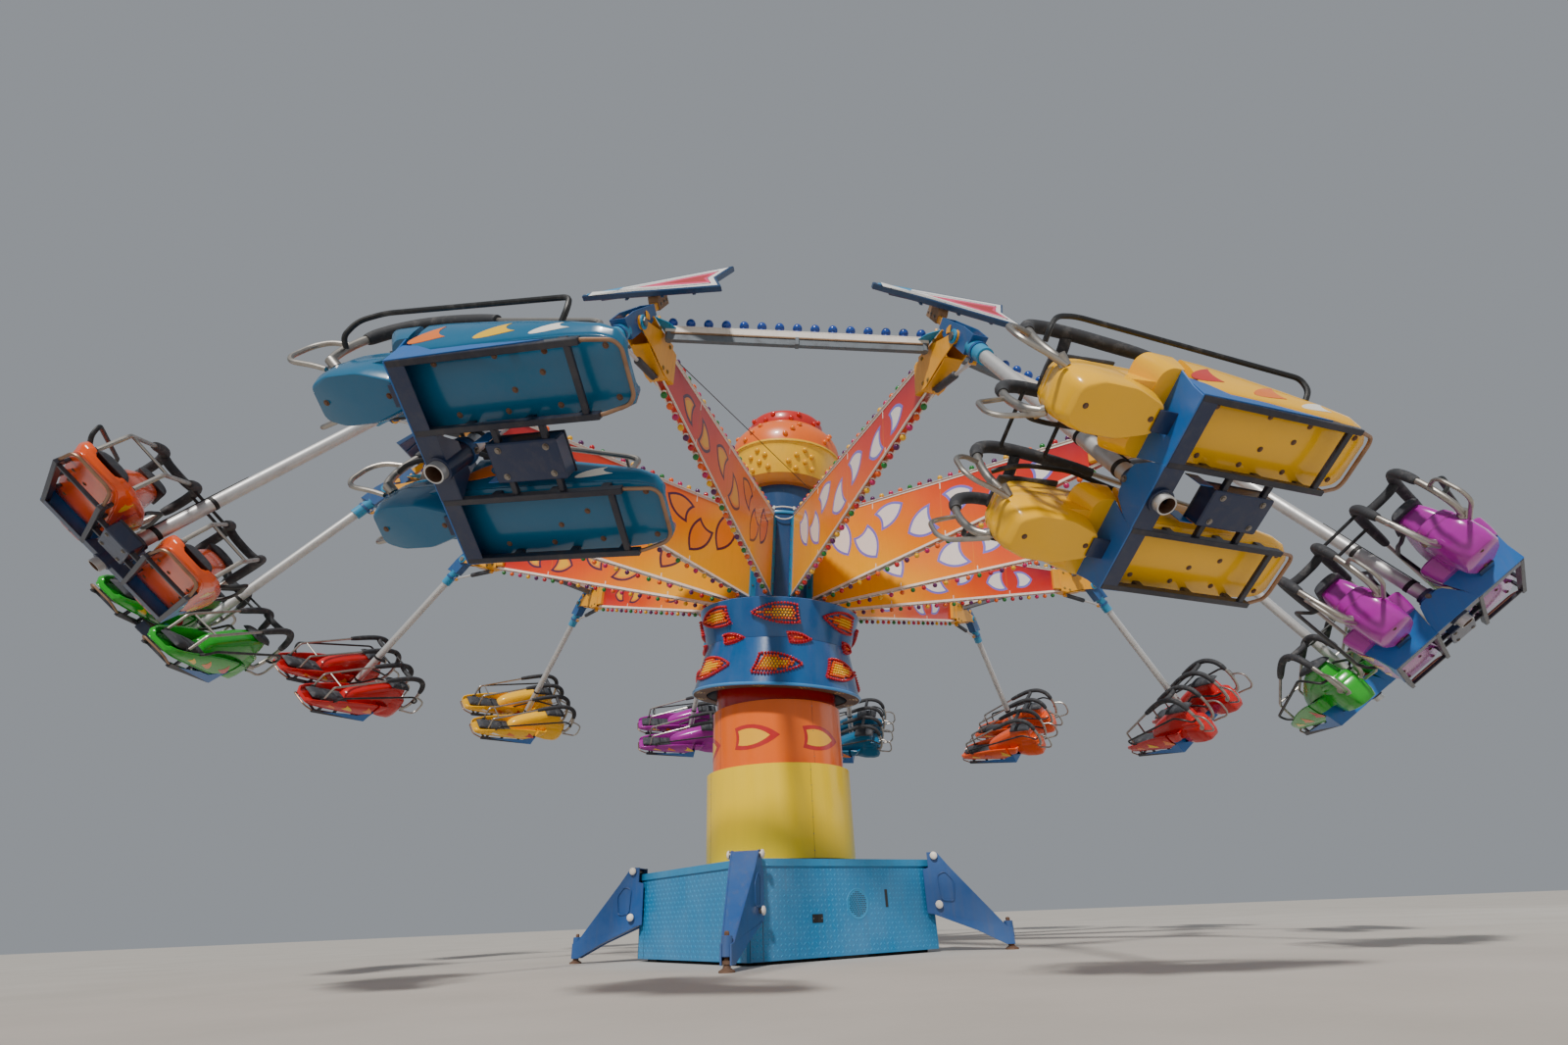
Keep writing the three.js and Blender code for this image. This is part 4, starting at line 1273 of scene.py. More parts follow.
def sweep_fins(form):
    """Painted fins on both faces: white in lavender on one, peach and gold in plum on the other."""
    fins = (
        (3.42, 0.50, 0.24, 0.20, 8, 1), (2.98, 0.42, 0.27, 0.24, -14, -1), (2.52, 0.60, 0.30, 0.26, 18, 1),
        (2.05, 0.38, 0.33, 0.30, -20, -1), (1.66, 0.74, 0.34, 0.22, 24, 1), (1.36, 0.40, 0.40, 0.22, -58, 1),
        (0.98, 0.60, 0.44, 0.20, -66, 1),
    )
    for side, line, fill in ((-1, "fin_lavender", "fin_white"), (1, "fin_plum", "fin_peach")):
        for values in fins:
            outline = fin(*values)
            form.add(flat_patch(inset(outline, -0.012), PANEL_HALF, 0.0007, side), line)
            inner = inset(outline, 0.016)
            form.add(flat_patch(inner, PANEL_HALF, 0.0013, side), fill)
            if side > 0 and values[2] < 0.34:
                form.add(flat_patch(inset(inner, 0.022), PANEL_HALF, 0.0019, side), "fin_gold")


def tip_bracket(form):
    """End bracket: side cheeks with pivot bosses, prongs, end box, webs, rib and plates for the tie beams."""
    cheek = [(3.962, 4.316), (4.06, 4.308), (4.30, 4.374), (4.48, 4.404), (4.535, 4.420), (4.548, 4.455),
             (4.535, 4.490), (4.47, 4.502), (4.38, 4.532), (4.20, 4.602), (3.962, 4.634)]
    prong = [(4.384, 4.560), (4.433, 4.540), (4.452, 4.592), (4.436, 4.598), (4.40, 4.597)]
    boss = [(PIN_BORE, 0.0), (0.052, 0.0), (0.052, 0.010), (0.048, 0.013), (PIN_BORE, 0.013), (PIN_BORE, 0.0)]
    for s in (-1, 1):
        y0, y1 = sorted((s * CHEEK_IN, s * CHEEK_OUT))
        facing = turn(-90 * s, "X")
        hole = bore(PIN_BORE, 20, PIVOT_R, PIVOT_Z)
        form.add(slab_with_hole(cheek, hole, y0, y1, "y"), "bracket_yellow")
        form.add(lathe(boss, 24), "bracket_sky", shift(PIVOT_R, s * 0.0772, PIVOT_Z) @ facing)
        for x, z in ((4.02, 4.36), (4.02, 4.58), (4.10, 4.345), (4.22, 4.61)):
            form.add(bolt(0.012, 0.010), "brass_disc", shift(x, s * CHEEK_OUT, z) @ facing)
        form.add(slab(prong, *sorted((s * 0.060, s * CHEEK_IN)), 0.002, "y"), "bracket_yellow")
    form.add(box(3.866, 3.980, -CHEEK_IN, CHEEK_IN, 4.340, 4.616, 0.006), "bracket_yellow")
    for line in ([(3.97, 4.318), (4.06, 4.298), (4.30, 4.352), (4.36, 4.376)],
                 [(3.97, 4.628), (4.20, 4.620), (4.33, 4.628)]):
        rings = [[(r, -CHEEK_IN, z), (r, CHEEK_IN, z), (r, CHEEK_IN, z + 0.007), (r, -CHEEK_IN, z + 0.007)]
                 for r, z in line]
        form.add(loft(rings), "bracket_yellow")
    rib = [(4.05, 4.30), (4.30, 4.36), (4.20, 4.62), (4.05, 4.62)]
    form.add(slab(rib, -0.006, 0.006, 0.001, "y"), "bracket_yellow")
    for s in (-1, 1):
        plate = [(4.06, s * 0.078), (4.33, s * 0.078), (4.25, s * 0.150), (4.16, s * 0.185)]
        form.add(slab(plate, 4.628, 4.636, 0.001), "bracket_sky")
        for x, y in ((4.13, 0.098), (4.22, 0.098), (4.29, 0.092)):
            form.add(bolt(0.011, 0.026), "bracket_yellow", shift(x, s * y, 4.636))


def sweep_form():
    form = Form()
    sweep_panel(form)
    sweep_fins(form)
    tip_bracket(form)
    return form


def tie_form():
    """Tie beam from one sweep's bracket to the next: channel, tan edge, grey bar and lamps."""
    form = Form()
    tie_r, lamps = 4.190, 15
    start = Vector((tie_r, 0, 0))
    end = Vector((tie_r * math.cos(math.radians(30)), tie_r * math.sin(math.radians(30)), 0))
    length = (end - start).length
    along = (end - start).normalized()
    place = shift(*start) @ Vector((1, 0, 0)).rotation_difference(along).to_matrix().to_4x4()
    a, b = 0.098, length - 0.100
    form.add(box(a, b, -0.0265, 0.0265, 4.600, 4.6465, 0.002), "edge_white", place)
    form.add(box(a, b, -0.0275, 0.0275, 4.589, 4.601, 0.001), "tie_tan", place)
    form.add(box(a + 0.004, b - 0.004, -0.020, 0.020, 4.534, 4.590, 0.004), "tie_grey", place)
    lips = [(a + 0.01, b - 0.01, y - 0.004, y + 0.004, 4.6465, 4.6555) for y in (-0.0225, 0.0225)]
    boxes(form, "edge_white", lips, 0.001, place)
    clamps = [(x - 0.014, x + 0.014, -0.030, 0.030, 4.536, 4.602) for x in (a + 0.03, (a + b) / 2, b - 0.03)]
    boxes(form, "tie_grey", clamps, 0.002, place)
    for i in range(lamps):
        x = a + 0.05 + (b - a - 0.10) * i / (lamps - 1)
        form.add(cap_lamp(0.037, 0.6, 14), "bulb_blue", place @ shift(x, 0, 4.672))
    return form


def lamp_row(form, high):
    """Cap lamps on holders along one edge of a sweep."""
    pitch = 0.1265
    r = ROOT_R + (0.10 if high else 0.16)
    shade = 0 if high else 3
    foot, inset_z = (-0.012, 0.012) if high else (-0.010, -0.010)
    holder = lathe([(0, foot), (0.018, foot), (0.018, 0.004), (0.015, 0.008)], 10)
    lamp = cap_lamp(0.0275, 0.2, 12)
    while r <= TIP_R - 0.03:
        spot = shift(r, 0, sweep_edge(r, high) + inset_z)
        if not high:
            spot = spot @ turn(180, "X")
        form.add(holder, "edge_white", spot)
        form.add(lamp, f"bulb_{LAMP_COLOURS[shade % 6]}", spot @ shift(0, 0, 0.008))
        r += pitch
        shade += 1


def build_sweeps():
    lamps = Form()
    lamp_row(lamps, True)
    lamp_row(lamps, False)
    panel, tie = sweep_form(), tie_form()
    pieces = (("arm_panel", panel, panel.mesh("sweep"), "sweep"), ("arm_tie", tie, tie.mesh("tie"), None),
              ("arm_lamps", lamps, lamps.mesh("lamps", 40), None))
    for number in range(1, ARMS + 1):
        tag = f"{number:02d}"
        for name, form, mesh, node in pieces:
            nodes = [f"{node}_{tag}"] if node else ()
            set_piece(f"{name}_{tag}", mesh.copy(), "rotor", arm_place(number), nodes,
                      tints=form.names)


# Pendulums

def pendulum_form():
    """Swinging head with its bearing, the long tube, the strut and the mount for the kite."""
    form = Form()
    # swinging head: boxed bracket open outward with the bearing inside
    side = [(-0.062, -0.200), (0.092, -0.243), (0.096, -0.060),
            (0.050, 0.336), (-0.030, 0.336), (-0.062, 0.200)]
    for s in (-1, 1):
        y0, y1 = sorted((s * 0.048, s * 0.058))
        form.add(slab(side, y0, y1, 0.002, "y"), "bracket_blue")
        disc = lathe([(0, 0), (0.050, 0), (0.050, 0.008), (0.044, 0.011), (0, 0.011)], 24)
        form.add(disc, "bracket_yellow", shift(0, s * 0.058, 0) @ turn(-90 * s, "X"))
    back = [(-0.062, -0.200), (-0.050, -0.200), (-0.050, 0.200), (-0.018, 0.334),
            (-0.030, 0.334), (-0.062, 0.200)]
    foot = [(-0.058, -0.205), (0.092, -0.243), (0.092, -0.232), (-0.058, -0.192)]
    top = [(-0.030, 0.326), (0.050, 0.326), (0.050, 0.336), (-0.030, 0.336)]
    for plate in (back, foot, top):
        form.add(slab(plate, -0.049, 0.049, 0.001, "y"), "bracket_blue")
    bush = lathe([(0.0262, -0.046), (0.050, -0.046), (0.050, 0.046), (0.0262, 0.046)], 28)
    form.add(bush, "bracket_yellow", turn(90, "X"))
    grease_cap = lathe([(0, 0), (0.030, 0), (0.030, 0.014), (0.022, 0.020), (0, 0.020)], 20)
    form.add(grease_cap, "bracket_yellow", shift(0.046, 0, -0.009) @ turn(90, "Y"))
    form.add(tube([(0, -0.103, 0), (0, 0.103, 0)], 0.0258, 20), "bolt_steel")
    for s in (-1, 1):
        nut = lathe([(0, 0), (0.034, 0), (0.034, 0.006), (0, 0.007)], 6)
        form.add(nut, "bolt_steel", shift(0, s * 0.096, 0) @ turn(-90 * s, "X"))
    # neck sleeve and flange below the head
    neck = [(0.045, -0.405), (0.060, -0.405), (0.060, -0.210), (0.066, -0.195), (0.045, -0.195)]
    form.add(lathe(neck, 28), "bracket_sky")
    form.add(lathe([(0.060, -0.300), (0.067, -0.300), (0.067, -0.275), (0.060, -0.275)], 28), "bracket_blue")
    # silver tube, open at its lower end, with black clamp bands
    form.add(lathe([(0.038, -2.434), (0.045, -2.434), (0.045, -0.39), (0, -0.39)], 32), "tube_silver")
    form.add(lathe([(0.038, -2.434), (0.038, -2.344), (0, -2.344)], 32), "rusty_steel")
    for z, high in ((-1.690, 0.028), (-2.060, 0.030)):
        band = [(0.045, z - high), (0.0485, z - high + 0.003), (0.0485, z - 0.003), (0.045, z)]
        form.add(lathe(band, 32), "clamp_black")
    wire = [(0.046, 0.0, -1.42), (0.0475, 0.004, -1.70), (0.0475, 0.006, -2.10)]
    form.add(tube(wire, 0.005, 8), "clamp_black")
    # telescopic strut toward the sweep
    a, b = Vector((-0.436, 0, 0.134)), Vector((-0.076, 0, -0.262))
    mid = a.lerp(b, 0.56)
    barrel = [a, a.lerp(b, 0.02), mid.lerp(a, 0.04), mid]
    form.add(tube(barrel, [0.020, 0.0295, 0.0295, 0.020], 16), "strut_dark")
    form.add(tube([mid, b], 0.0145, 12), "tube_silver")
    above = Vector((0, 0, 0.034))
    form.add(tube([a.lerp(b, 0.03) + above, mid + above], 0.006, 8), "clamp_black")
    for spot in (a, b):
        eye, pin = Vector((0, 0.022, 0)), Vector((0, 0.030, 0))
        form.add(tube([spot - eye, spot + eye], 0.028, 16), "bracket_yellow")
        form.add(tube([spot - pin, spot + pin], 0.012, 10), "bolt_steel")
    for s in (-1, 1):
        lug = [(-0.045, -0.225), (-0.045, -0.305), (-0.085, -0.292), (-0.098, -0.262), (-0.085, -0.235)]
        form.add(slab(lug, *sorted((s * 0.0165, s * 0.0245)), 0.001, "y"), "bracket_blue")
    # mount for the kite
    block = [(-0.030, 0.476), (0.040, 0.476), (0.076, 0.490), (0.102, 0.500),
             (0.102, 0.640), (0.076, 0.693), (-0.030, 0.693)]
    form.add(slab(block, -0.041, 0.041, 0.003, "y"), "tie_tan")
    stem = [(-0.026, 0.330), (0.036, 0.330), (0.030, 0.480), (-0.022, 0.480)]
    form.add(slab(stem, -0.030, 0.030, 0.003, "y"), "bracket_yellow")
    for z in (0.52, 0.60, 0.66):
        for s in (-1, 1):
            form.add(bolt(0.009, 0.008), "bolt_steel", shift(0.010, s * 0.041, z) @ turn(-90 * s, "X"))
    return form


def kite_form():
    """Kite board tilted on its mount: dark blue edge, white field, sky nose, pink heart, red core."""
    form = Form()
    tilt = shift(0.120, 0, 0.546) @ turn(7, "Y") @ shift(-0.120, 0, -0.546)
    x0, x1 = 0.100, 0.146
    outline = [(-0.583, 0.531), (-0.583, 0.563), (0.590, 0.767), (0.502, 0.546), (0.590, 0.325)]
    form.add(slab(outline, x0, x1, 0.006, "x"), "kite_edge", tilt)
    tip = [(-0.545, 0.536), (-0.545, 0.558), (-0.250, 0.609), (-0.285, 0.548), (-0.250, 0.486)]
    heart = [(-0.140, 0.548), (0.495, 0.672), (0.432, 0.546), (0.495, 0.420)]
    core = [(0.060, 0.548), (0.450, 0.625), (0.405, 0.546), (0.450, 0.468)]
    layers = ((inset(outline, 0.020), 0.0006, "kite_white"), (tip, 0.0010, "kite_sky"),
              (inset(outline, 0.058), 0.0010, "kite_line"), (inset(outline, 0.068), 0.0014, "kite_white"),
              (heart, 0.0019, "kite_pink"), (core, 0.0024, "kite_red"))
    for shape, raised, tint in layers:
        form.add(slab(shape, x1 - 0.001, x1 + raised, 0.0, "x"), tint, tilt)
    ribs = [(x0 - 0.016, x0 + 0.001, -0.44, 0.46, 0.534, 0.560)]
    for y in (-0.20, 0.10, 0.36):
        half = 0.04 + (y + 0.58) * 0.14
        ribs.append((x0 - 0.012, x0 + 0.001, y - 0.012, y + 0.012, 0.547 - half, 0.547 + half))
    boxes(form, "kite_edge", ribs, 0.003, tilt)
    return form


# Gondolas

def between(stations, y):
    """Values of a table of rows [y, ...] at y, on straight lines between its rows."""
    for a, b in zip(stations, stations[1:]):
        if a[0] <= y <= b[0]:
            t = (y - a[0]) / (b[0] - a[0])
            return [p + (q - p) * t for p, q in zip(a[1:], b[1:])]
    return stations[-1][1:] if y > stations[-1][0] else stations[0][1:]


def smooth_rows(stations, steps):
    """Rows of numbers eased by a curve through each column."""
    columns = [smooth([(v, 0, 0) for v in column], steps) for column in zip(*stations)]
    return [[p.x for p in row] for row in zip(*columns)]


TRAY_Z = -2.297
RAIL_Z = -2.385
SOLE = 0.012
BULGE = 0.012
ROLL = 0.013

# Capsule by height: front, shoulder and back edge, half width at nose, middle and tail, corner radius
CAPSULE = (
    (-2.297, -0.526, -0.440, -0.128, 0.072, 0.110, 0.060, 0.030),
    (-2.290, -0.535, -0.446, -0.123, 0.078, 0.116, 0.065, 0.032),
    (-2.232, -0.555, -0.455, -0.120, 0.094, 0.128, 0.086, 0.042),
    (-2.150, -0.562, -0.456, -0.124, 0.101, 0.132, 0.100, 0.055),
    (-2.072, -0.554, -0.450, -0.134, 0.099, 0.129, 0.100, 0.055),
    (-2.066, -0.548, -0.446, -0.139, 0.095, 0.124, 0.096, 0.055),
    (-2.060, -0.548, -0.446, -0.139, 0.095, 0.124, 0.096, 0.055),
    (-2.054, -0.552, -0.450, -0.137, 0.098, 0.127, 0.099, 0.055),
    (-2.010, -0.541, -0.440, -0.150, 0.089, 0.119, 0.092, 0.050),
    (-1.994, -0.524, -0.430, -0.170, 0.077, 0.105, 0.080, 0.045),
    (-1.986, -0.498, -0.420, -0.195, 0.060, 0.086, 0.064, 0.036),
)


def capsule_shell(x):
    """Rounded drum in front of the tray with flat sides, a moulding groove and a drawn-in top."""
    rings = []
    for z, front, shoulder, back, nose, half, tail, corner in CAPSULE:
        side = [(nose, front, 0), (half, shoulder, 0), (half, (shoulder + back) / 2, 0), (tail, back, 0)]
        rings.append([(x + p.x, p.y, z) for p in rounded(mirrored(side), corner, 4, True)])
    return loft(rings)


# Tray by y: half width at the rim, half width at the keel, height of the rim
TRAY = (
    (-0.216, 0.226, 0.168, -2.085),
    (-0.100, 0.229, 0.171, -2.083),
    (0.100, 0.226, 0.173, -2.092),
    (0.300, 0.216, 0.173, -2.112),
    (0.500, 0.205, 0.171, -2.145),
    (0.700, 0.190, 0.166, -2.186),
    (0.830, 0.174, 0.154, -2.212),
    (0.900, 0.148, 0.130, -2.228),
    (0.926, 0.108, 0.092, -2.238),
)


def tray_side(rim, keel, high, t):
    """Half width and height on a tray's bulging outer wall, at a fraction of its rise."""
    width = keel + (rim - keel) * t + BULGE * math.sin(math.pi * t)
    return width, TRAY_Z + SOLE + (high - 2 * SOLE - TRAY_Z) * t


def tray_shell(x):
    """Open tray behind the cross beam: flat bottom, outer wall, rolled rim and inner wall."""
    rings = []
    for y, *_ in smooth_rows(TRAY, 4):
        if y < -0.051:
            continue
        rim, keel, high = between(TRAY, y)
        floor = min(-2.262, high - 0.02)
        half = [(keel - 0.030, TRAY_Z), (keel - 0.006, TRAY_Z + 0.002), (keel + 0.004, TRAY_Z + SOLE)]
        half += [tray_side(rim, keel, high, t) for t in (0.17, 0.33, 0.5, 0.67, 0.83)]
        half += [(rim - ROLL + ROLL * math.cos(a), high - ROLL + ROLL * math.sin(a))
                 for a in (math.pi * i / 6 for i in range(7))]
        half += [(rim - 0.030 - (rim - keel) * t, high - ROLL + (floor - high + ROLL) * t)
                 for t in (0.3, 0.65, 0.9)]
        half.append((keel - 0.055, floor))
        rings.append([(x + a, y, b) for a, b in mirrored(half)])
    return loft(rings)


def tray_front(x):
    """Closed bow of a tray ahead of the cross beam, with the same rolled rim."""
    rim, keel, high = between(TRAY, -0.10)
    levels = []
    for f in (0.43, 0.55, 0.67, 0.80, 0.92):
        width, z = tray_side(rim, keel, high, f)
        levels.append((width, -0.148 - 0.070 * (f - 0.43) / 0.57, z))
    for a in (0, 45, 90, 135):
        c, d = ROLL * math.cos(math.radians(a)), ROLL * math.sin(math.radians(a))
        levels.append((rim - ROLL + c, -0.205 - c, high - ROLL + d))
    levels += [(rim - 0.030, -0.188, high - 0.030), (rim - 0.060, -0.160, -2.150)]
    rings = []
    corner = 0.062
    for width, front, z in levels:
        half = [(width, -0.048)]
        for i in range(7):
            a = math.pi * i / 12
            half.append((width - corner + corner * math.cos(a), front + corner - corner * math.sin(a)))
        rings.append([(x + a, b, z) for a, b in mirrored(half)])
    return loft(rings)


def saddle_shell(x):
    """Chest saddle that rises behind the capsule and slopes back into the tray."""
    rows = smooth_rows((
        (-0.440, 0.080, 0.056, -2.050), (-0.428, 0.098, 0.070, -1.920), (-0.406, 0.110, 0.080, -1.855),
        (-0.372, 0.116, 0.086, -1.830), (-0.300, 0.122, 0.092, -1.826), (-0.200, 0.130, 0.096, -1.842),
        (-0.060, 0.140, 0.096, -1.884), (0.100, 0.138, 0.090, -1.946), (0.240, 0.124, 0.078, -2.010),
        (0.340, 0.100, 0.058, -2.070), (0.390, 0.078, 0.042, -2.130)), 3)
    rings = []
    for y, foot, crest, top in rows:
        base = -2.200 if y < -0.05 else -2.262
        half = [(foot, base)]
        for i in range(9):
            a = math.pi / 2 * i / 8
            half.append((crest * 0.45 + (foot - crest * 0.45) * math.cos(a) ** 0.8,
                         base + (top - base) * math.sin(a) ** 0.9))
        half.append((crest * 0.2, top + 0.002))
        rings.append([(x + a, y, b) for a, b in mirrored(half)])
    return loft(rings)


def cheek(x, side):
    """Outer wall of a tray: a runs toward the tail, b up from its bottom edge."""
    def place_at(a, b, lift):
        width, z = tray_side(*between(TRAY, a), b / 0.2)
        return x + side * (width + lift), a, z
    return place_at


def crescent(y, b, long, high):
    """Moon shape with its belly toward the nose and its horns toward the tail."""
    top, low = (y + long * 0.42, b + high * 0.42), (y + long * 0.62, b - high * 0.5)
    return arc_points(top, low, -0.95 * long / high, 10) + arc_points(low, top, 0.16 * long / high, 10)


def pod_form(leaf_tints):
    """Both pods' mouldings with their motifs and the screws of their underside."""
    form = Form()
    moons = ((0.03, 0.18, 0.115, 0.100), (0.35, 0.19, 0.108, 0.095), (0.60, 0.18, 0.100, 0.085))
    screws = ((0, -0.487), (0, -0.169), (-0.112, 0.13), (0.112, 0.10), (-0.116, 0.36), (0.116, 0.38),
              (-0.112, 0.60), (0.112, 0.60), (-0.03, 0.421), (0.03, 0.566), (-0.105, 0.86), (0.105, 0.86))
    for x in (-POD_X, POD_X):
        for part in (capsule_shell(x), tray_shell(x), saddle_shell(x), tray_front(x)):
            form.add(part, "shell")
        edge = [(keel - 0.004, y) for y, _, keel, _ in smooth_rows(TRAY, 3) if y > -0.05]
        sole = [(x + a, y) for a, y in mirrored(edge)]
        form.add(slab(sole, TRAY_Z - 0.006, TRAY_Z + 0.004, 0.002), "shell")
        for side in (-1, 1):
            for (y, long, b, high), tint in zip(moons, leaf_tints):
                moon = patch(crescent(y, b, long, high), cheek(x, side), 0.0012, 0.0006, 0.03, 0.03)
                form.add(moon, tint)
        for bx, by in screws:
            depth = 0.0 if by < 0 else 0.006
            form.add(bolt(0.009, 0.006), "rusty_steel", shift(x + bx, by, TRAY_Z - depth) @ turn(180, "X"))
    return form


def frame_form():
    """Rails, straps, cross beam, gussets, centre box and tail bar of one gondola."""
    form = Form()
    # Rails, bars, undersides, floor, socket and centre box take the dark navy copies of the blue paint:
    # painted shade.
    low = RAIL_Z
    for x in (-POD_X, POD_X):
        for s in (-1, 1):
            rx = x + s * 0.150
            boxes(form, "rail_shade_navy", [(rx - 0.014, rx + 0.014, -0.055, 0.790, low, low + 0.040)])
            top = TRAY_Z - 0.006
            boxes(form, "rail_shade_navy", [(rx - 0.010, rx + 0.010, y - 0.02, y + 0.02, low + 0.038, top)
                                      for y in (0.18, 0.46, 0.70)])
            outline = [(-0.060, low + 0.004), (0.640, low + 0.034), (0.300, low + 0.072),
                       (0.120, -2.312), (0.030, -2.262), (-0.060, -2.240)]
            verts, faces = slab(outline, -0.003, 0.003, 0.001, "x")
            lean = [(x + s * (0.166 + max(0.0, c - low - 0.05) * 0.22) + a, b, c) for a, b, c in verts]
            if s * x > 0:
                form.add((lean, faces), "beam_bright_blue")
        plate = [(x - 0.162, low + 0.002), (x + 0.162, low + 0.002), (x + 0.174, -2.310),
                 (x + 0.208, -2.196), (x - 0.208, -2.196), (x - 0.174, -2.310)]
        form.add(slab(plate, -0.064, -0.056, 0.002, "y"), "beam_bright_blue")
        boxes(form, "rail_shade_navy", [(x - 0.150, x + 0.150, 0.722, 0.750, low + 0.006, low + 0.026)])
        boxes(form, "frame_shade_navy", [(x - 0.150, x + 0.150, -0.056, 0.026, low + 0.001, low + 0.008),
                                   (x - 0.050, x + 0.050, -0.150, -0.058, -2.309, -2.298)])
        half = [(-0.150, 0.770, low + 0.024), (-0.150, 0.800, low + 0.026), (-0.130, 0.906, -2.330),
                (-0.098, 0.930, -2.322)]
        bar = [(x + a, b, c) for a, b, c in mirrored(half)]
        form.add(tube(rounded(bar, 0.035, 4), 0.009, 10), "copper_bar")
    # beam between the pods, its socket for the tube and the centre box on two bars
    middle = [(-0.160, low + 0.004), (0.160, low + 0.004), (0.135, -2.300), (0.085, -2.215),
              (0.055, -2.200), (-0.055, -2.200), (-0.085, -2.215), (-0.135, -2.300)]
    form.add(slab(middle, -0.066, -0.056, 0.002, "y"), "beam_bright_blue")
    form.add(slab(middle[:2] + [(0.075, -2.262), (-0.075, -2.262)], 0.036, 0.044, 0.002, "y"), "frame_shade_navy")
    floor = [(-0.160, -0.060), (0.160, -0.060), (0.160, 0.040), (-0.160, 0.040)]
    form.add(slab_with_hole(floor, bore(0.0465, 24), low + 0.004, low + 0.011, "z"), "frame_shade_navy")
    socket = [(0.0462, low - 0.010), (0.058, low - 0.010), (0.058, -2.165), (0.054, -2.160),
              (0.0462, -2.160), (0.0462, low - 0.010)]
    form.add(lathe(socket, 32), "frame_shade_navy")
    form.add(lathe([(0.058, -2.215), (0.066, -2.213), (0.066, -2.187), (0.058, -2.185)], 32), "bracket_blue")
    bars = [(-0.170, 0.170, y - 0.013, y + 0.013, low + 0.014, low + 0.040) for y in (0.300, 0.520)]
    boxes(form, "rail_shade_navy", bars + [(-0.094, 0.094, 0.241, 0.576, -2.300, -2.290)])
    boxes(form, "frame_shade_navy", [(-0.090, 0.090, 0.245, 0.572, low + 0.002, -2.296)], 0.006)
    sides = [(x - 0.002, x + 0.002, 0.180, 0.250, low + 0.03, -2.240) for x in (-0.093, 0.093)]
    boxes(form, "beam_bright_blue", sides, 0.001)
    for s in (-1, 1):
        form.add(bolt(0.011, 0.012), "bolt_steel", shift(0, s * 0.066, -2.200) @ turn(-90 * s, "X"))
        for y in (0.30, 0.52):
            form.add(bolt(0.010, 0.008), "bolt_steel", shift(s * 0.060, y, low + 0.002) @ turn(180, "X"))
    return form


def restraint_form():
    """Shoulder bars, handle loops, guard tubes and the links between both pods."""
    form = Form()
    for x in (-POD_X, POD_X):
        for s in (-1, 1):
            def line(points):
                return [(x + s * a, y, z) for a, y, z in points]
            post = [(0.132, 0.742, -2.225), (0.132, 0.735, -2.020), (0.140, 0.690, -2.000),
                    (0.148, 0.120, -1.768), (0.150, 0.060, -1.746)]
            form.add(tube(rounded(line(post), 0.03, 4), 0.0135, 10), "bar_steel")
            front = [(0.150, -0.560, -1.750), (0.148, -0.592, -1.850), (0.140, -0.606, -1.960),
                     (0.128, -0.590, -2.060), (0.112, -0.548, -2.110)]
            form.add(tube(smooth(line(front), 5), 0.0205, 14), "bar_steel")
            form.add(tube(line([(0.100, -0.530, -2.112), (0.136, -0.566, -2.090)]), 0.026, 14), "bar_steel")
            loop = [(0.146, -0.596, -1.890), (0.176, -0.700, -1.905), (0.176, -0.768, -1.950),
                    (0.172, -0.776, -2.080), (0.160, -0.735, -2.132), (0.132, -0.620, -2.140),
                    (0.110, -0.552, -2.150)]
            form.add(tube(rounded(line(loop), 0.040, 5), 0.0125, 10), "bar_steel")
            if s * x > 0:
                guard = [(0.150, -0.575, -1.965), (0.205, -0.572, -1.955), (0.252, -0.525, -1.885),
                         (0.262, -0.405, -1.836), (0.262, 0.560, -2.052), (0.262, 0.655, -2.074),
                         (0.230, 0.662, -2.140), (0.188, 0.640, -2.175)]
            else:
                guard = [(0.150, -0.575, -1.975), (0.190, -0.510, -1.985), (0.205, -0.400, -1.960),
                         (0.205, -0.150, -1.930), (0.190, 0.060, -2.040), (0.205, 0.200, -2.100)]
            form.add(tube(rounded(line(guard), 0.05, 6), 0.0125, 10), "guard_black")
            x0, x1 = sorted((x + s * 0.118, x + s * 0.146))
            form.add(box(x0, x1, 0.715, 0.768, -2.232, -2.190, 0.004), "clamp_black")
        form.add(tube([(x - 0.136, 0.66, -1.988), (x + 0.136, 0.66, -1.988)], 0.009, 8), "bar_steel")
    for y, z in ((-0.390, -1.655), (-0.150, -1.690)):
        form.add(tube([(-POD_X + 0.150, y, z), (POD_X - 0.150, y, z)], 0.0105, 10), "guard_black")
    return form


def foam_form():
    """Foam sleeves over the shoulder bars, joined across each pod."""
    form = Form()
    arch = [(0.150, 0.105, -1.762), (0.150, -0.080, -1.692), (0.150, -0.230, -1.646),
            (0.150, -0.340, -1.632), (0.150, -0.430, -1.642), (0.150, -0.512, -1.684),
            (0.150, -0.560, -1.748), (0.149, -0.580, -1.812)]
    for x in (-POD_X, POD_X):
        for s in (-1, 1):
            path = smooth([(x + s * a, y, z) for a, y, z in arch], 5)
            middle = (len(path) - 1) / 2
            radii = [0.033 * (1 - 0.22 * (abs(i - middle) / middle) ** 10) for i in range(len(path))]
            form.add(tube(path, radii, 14), "foam_grey")
        bar = [(x - 0.128, -0.285, -1.650), (x - 0.060, -0.283, -1.660), (x + 0.060, -0.283, -1.660),
               (x + 0.128, -0.285, -1.650)]
        form.add(tube(smooth(bar, 5), 0.028, 14), "foam_grey")
    return form


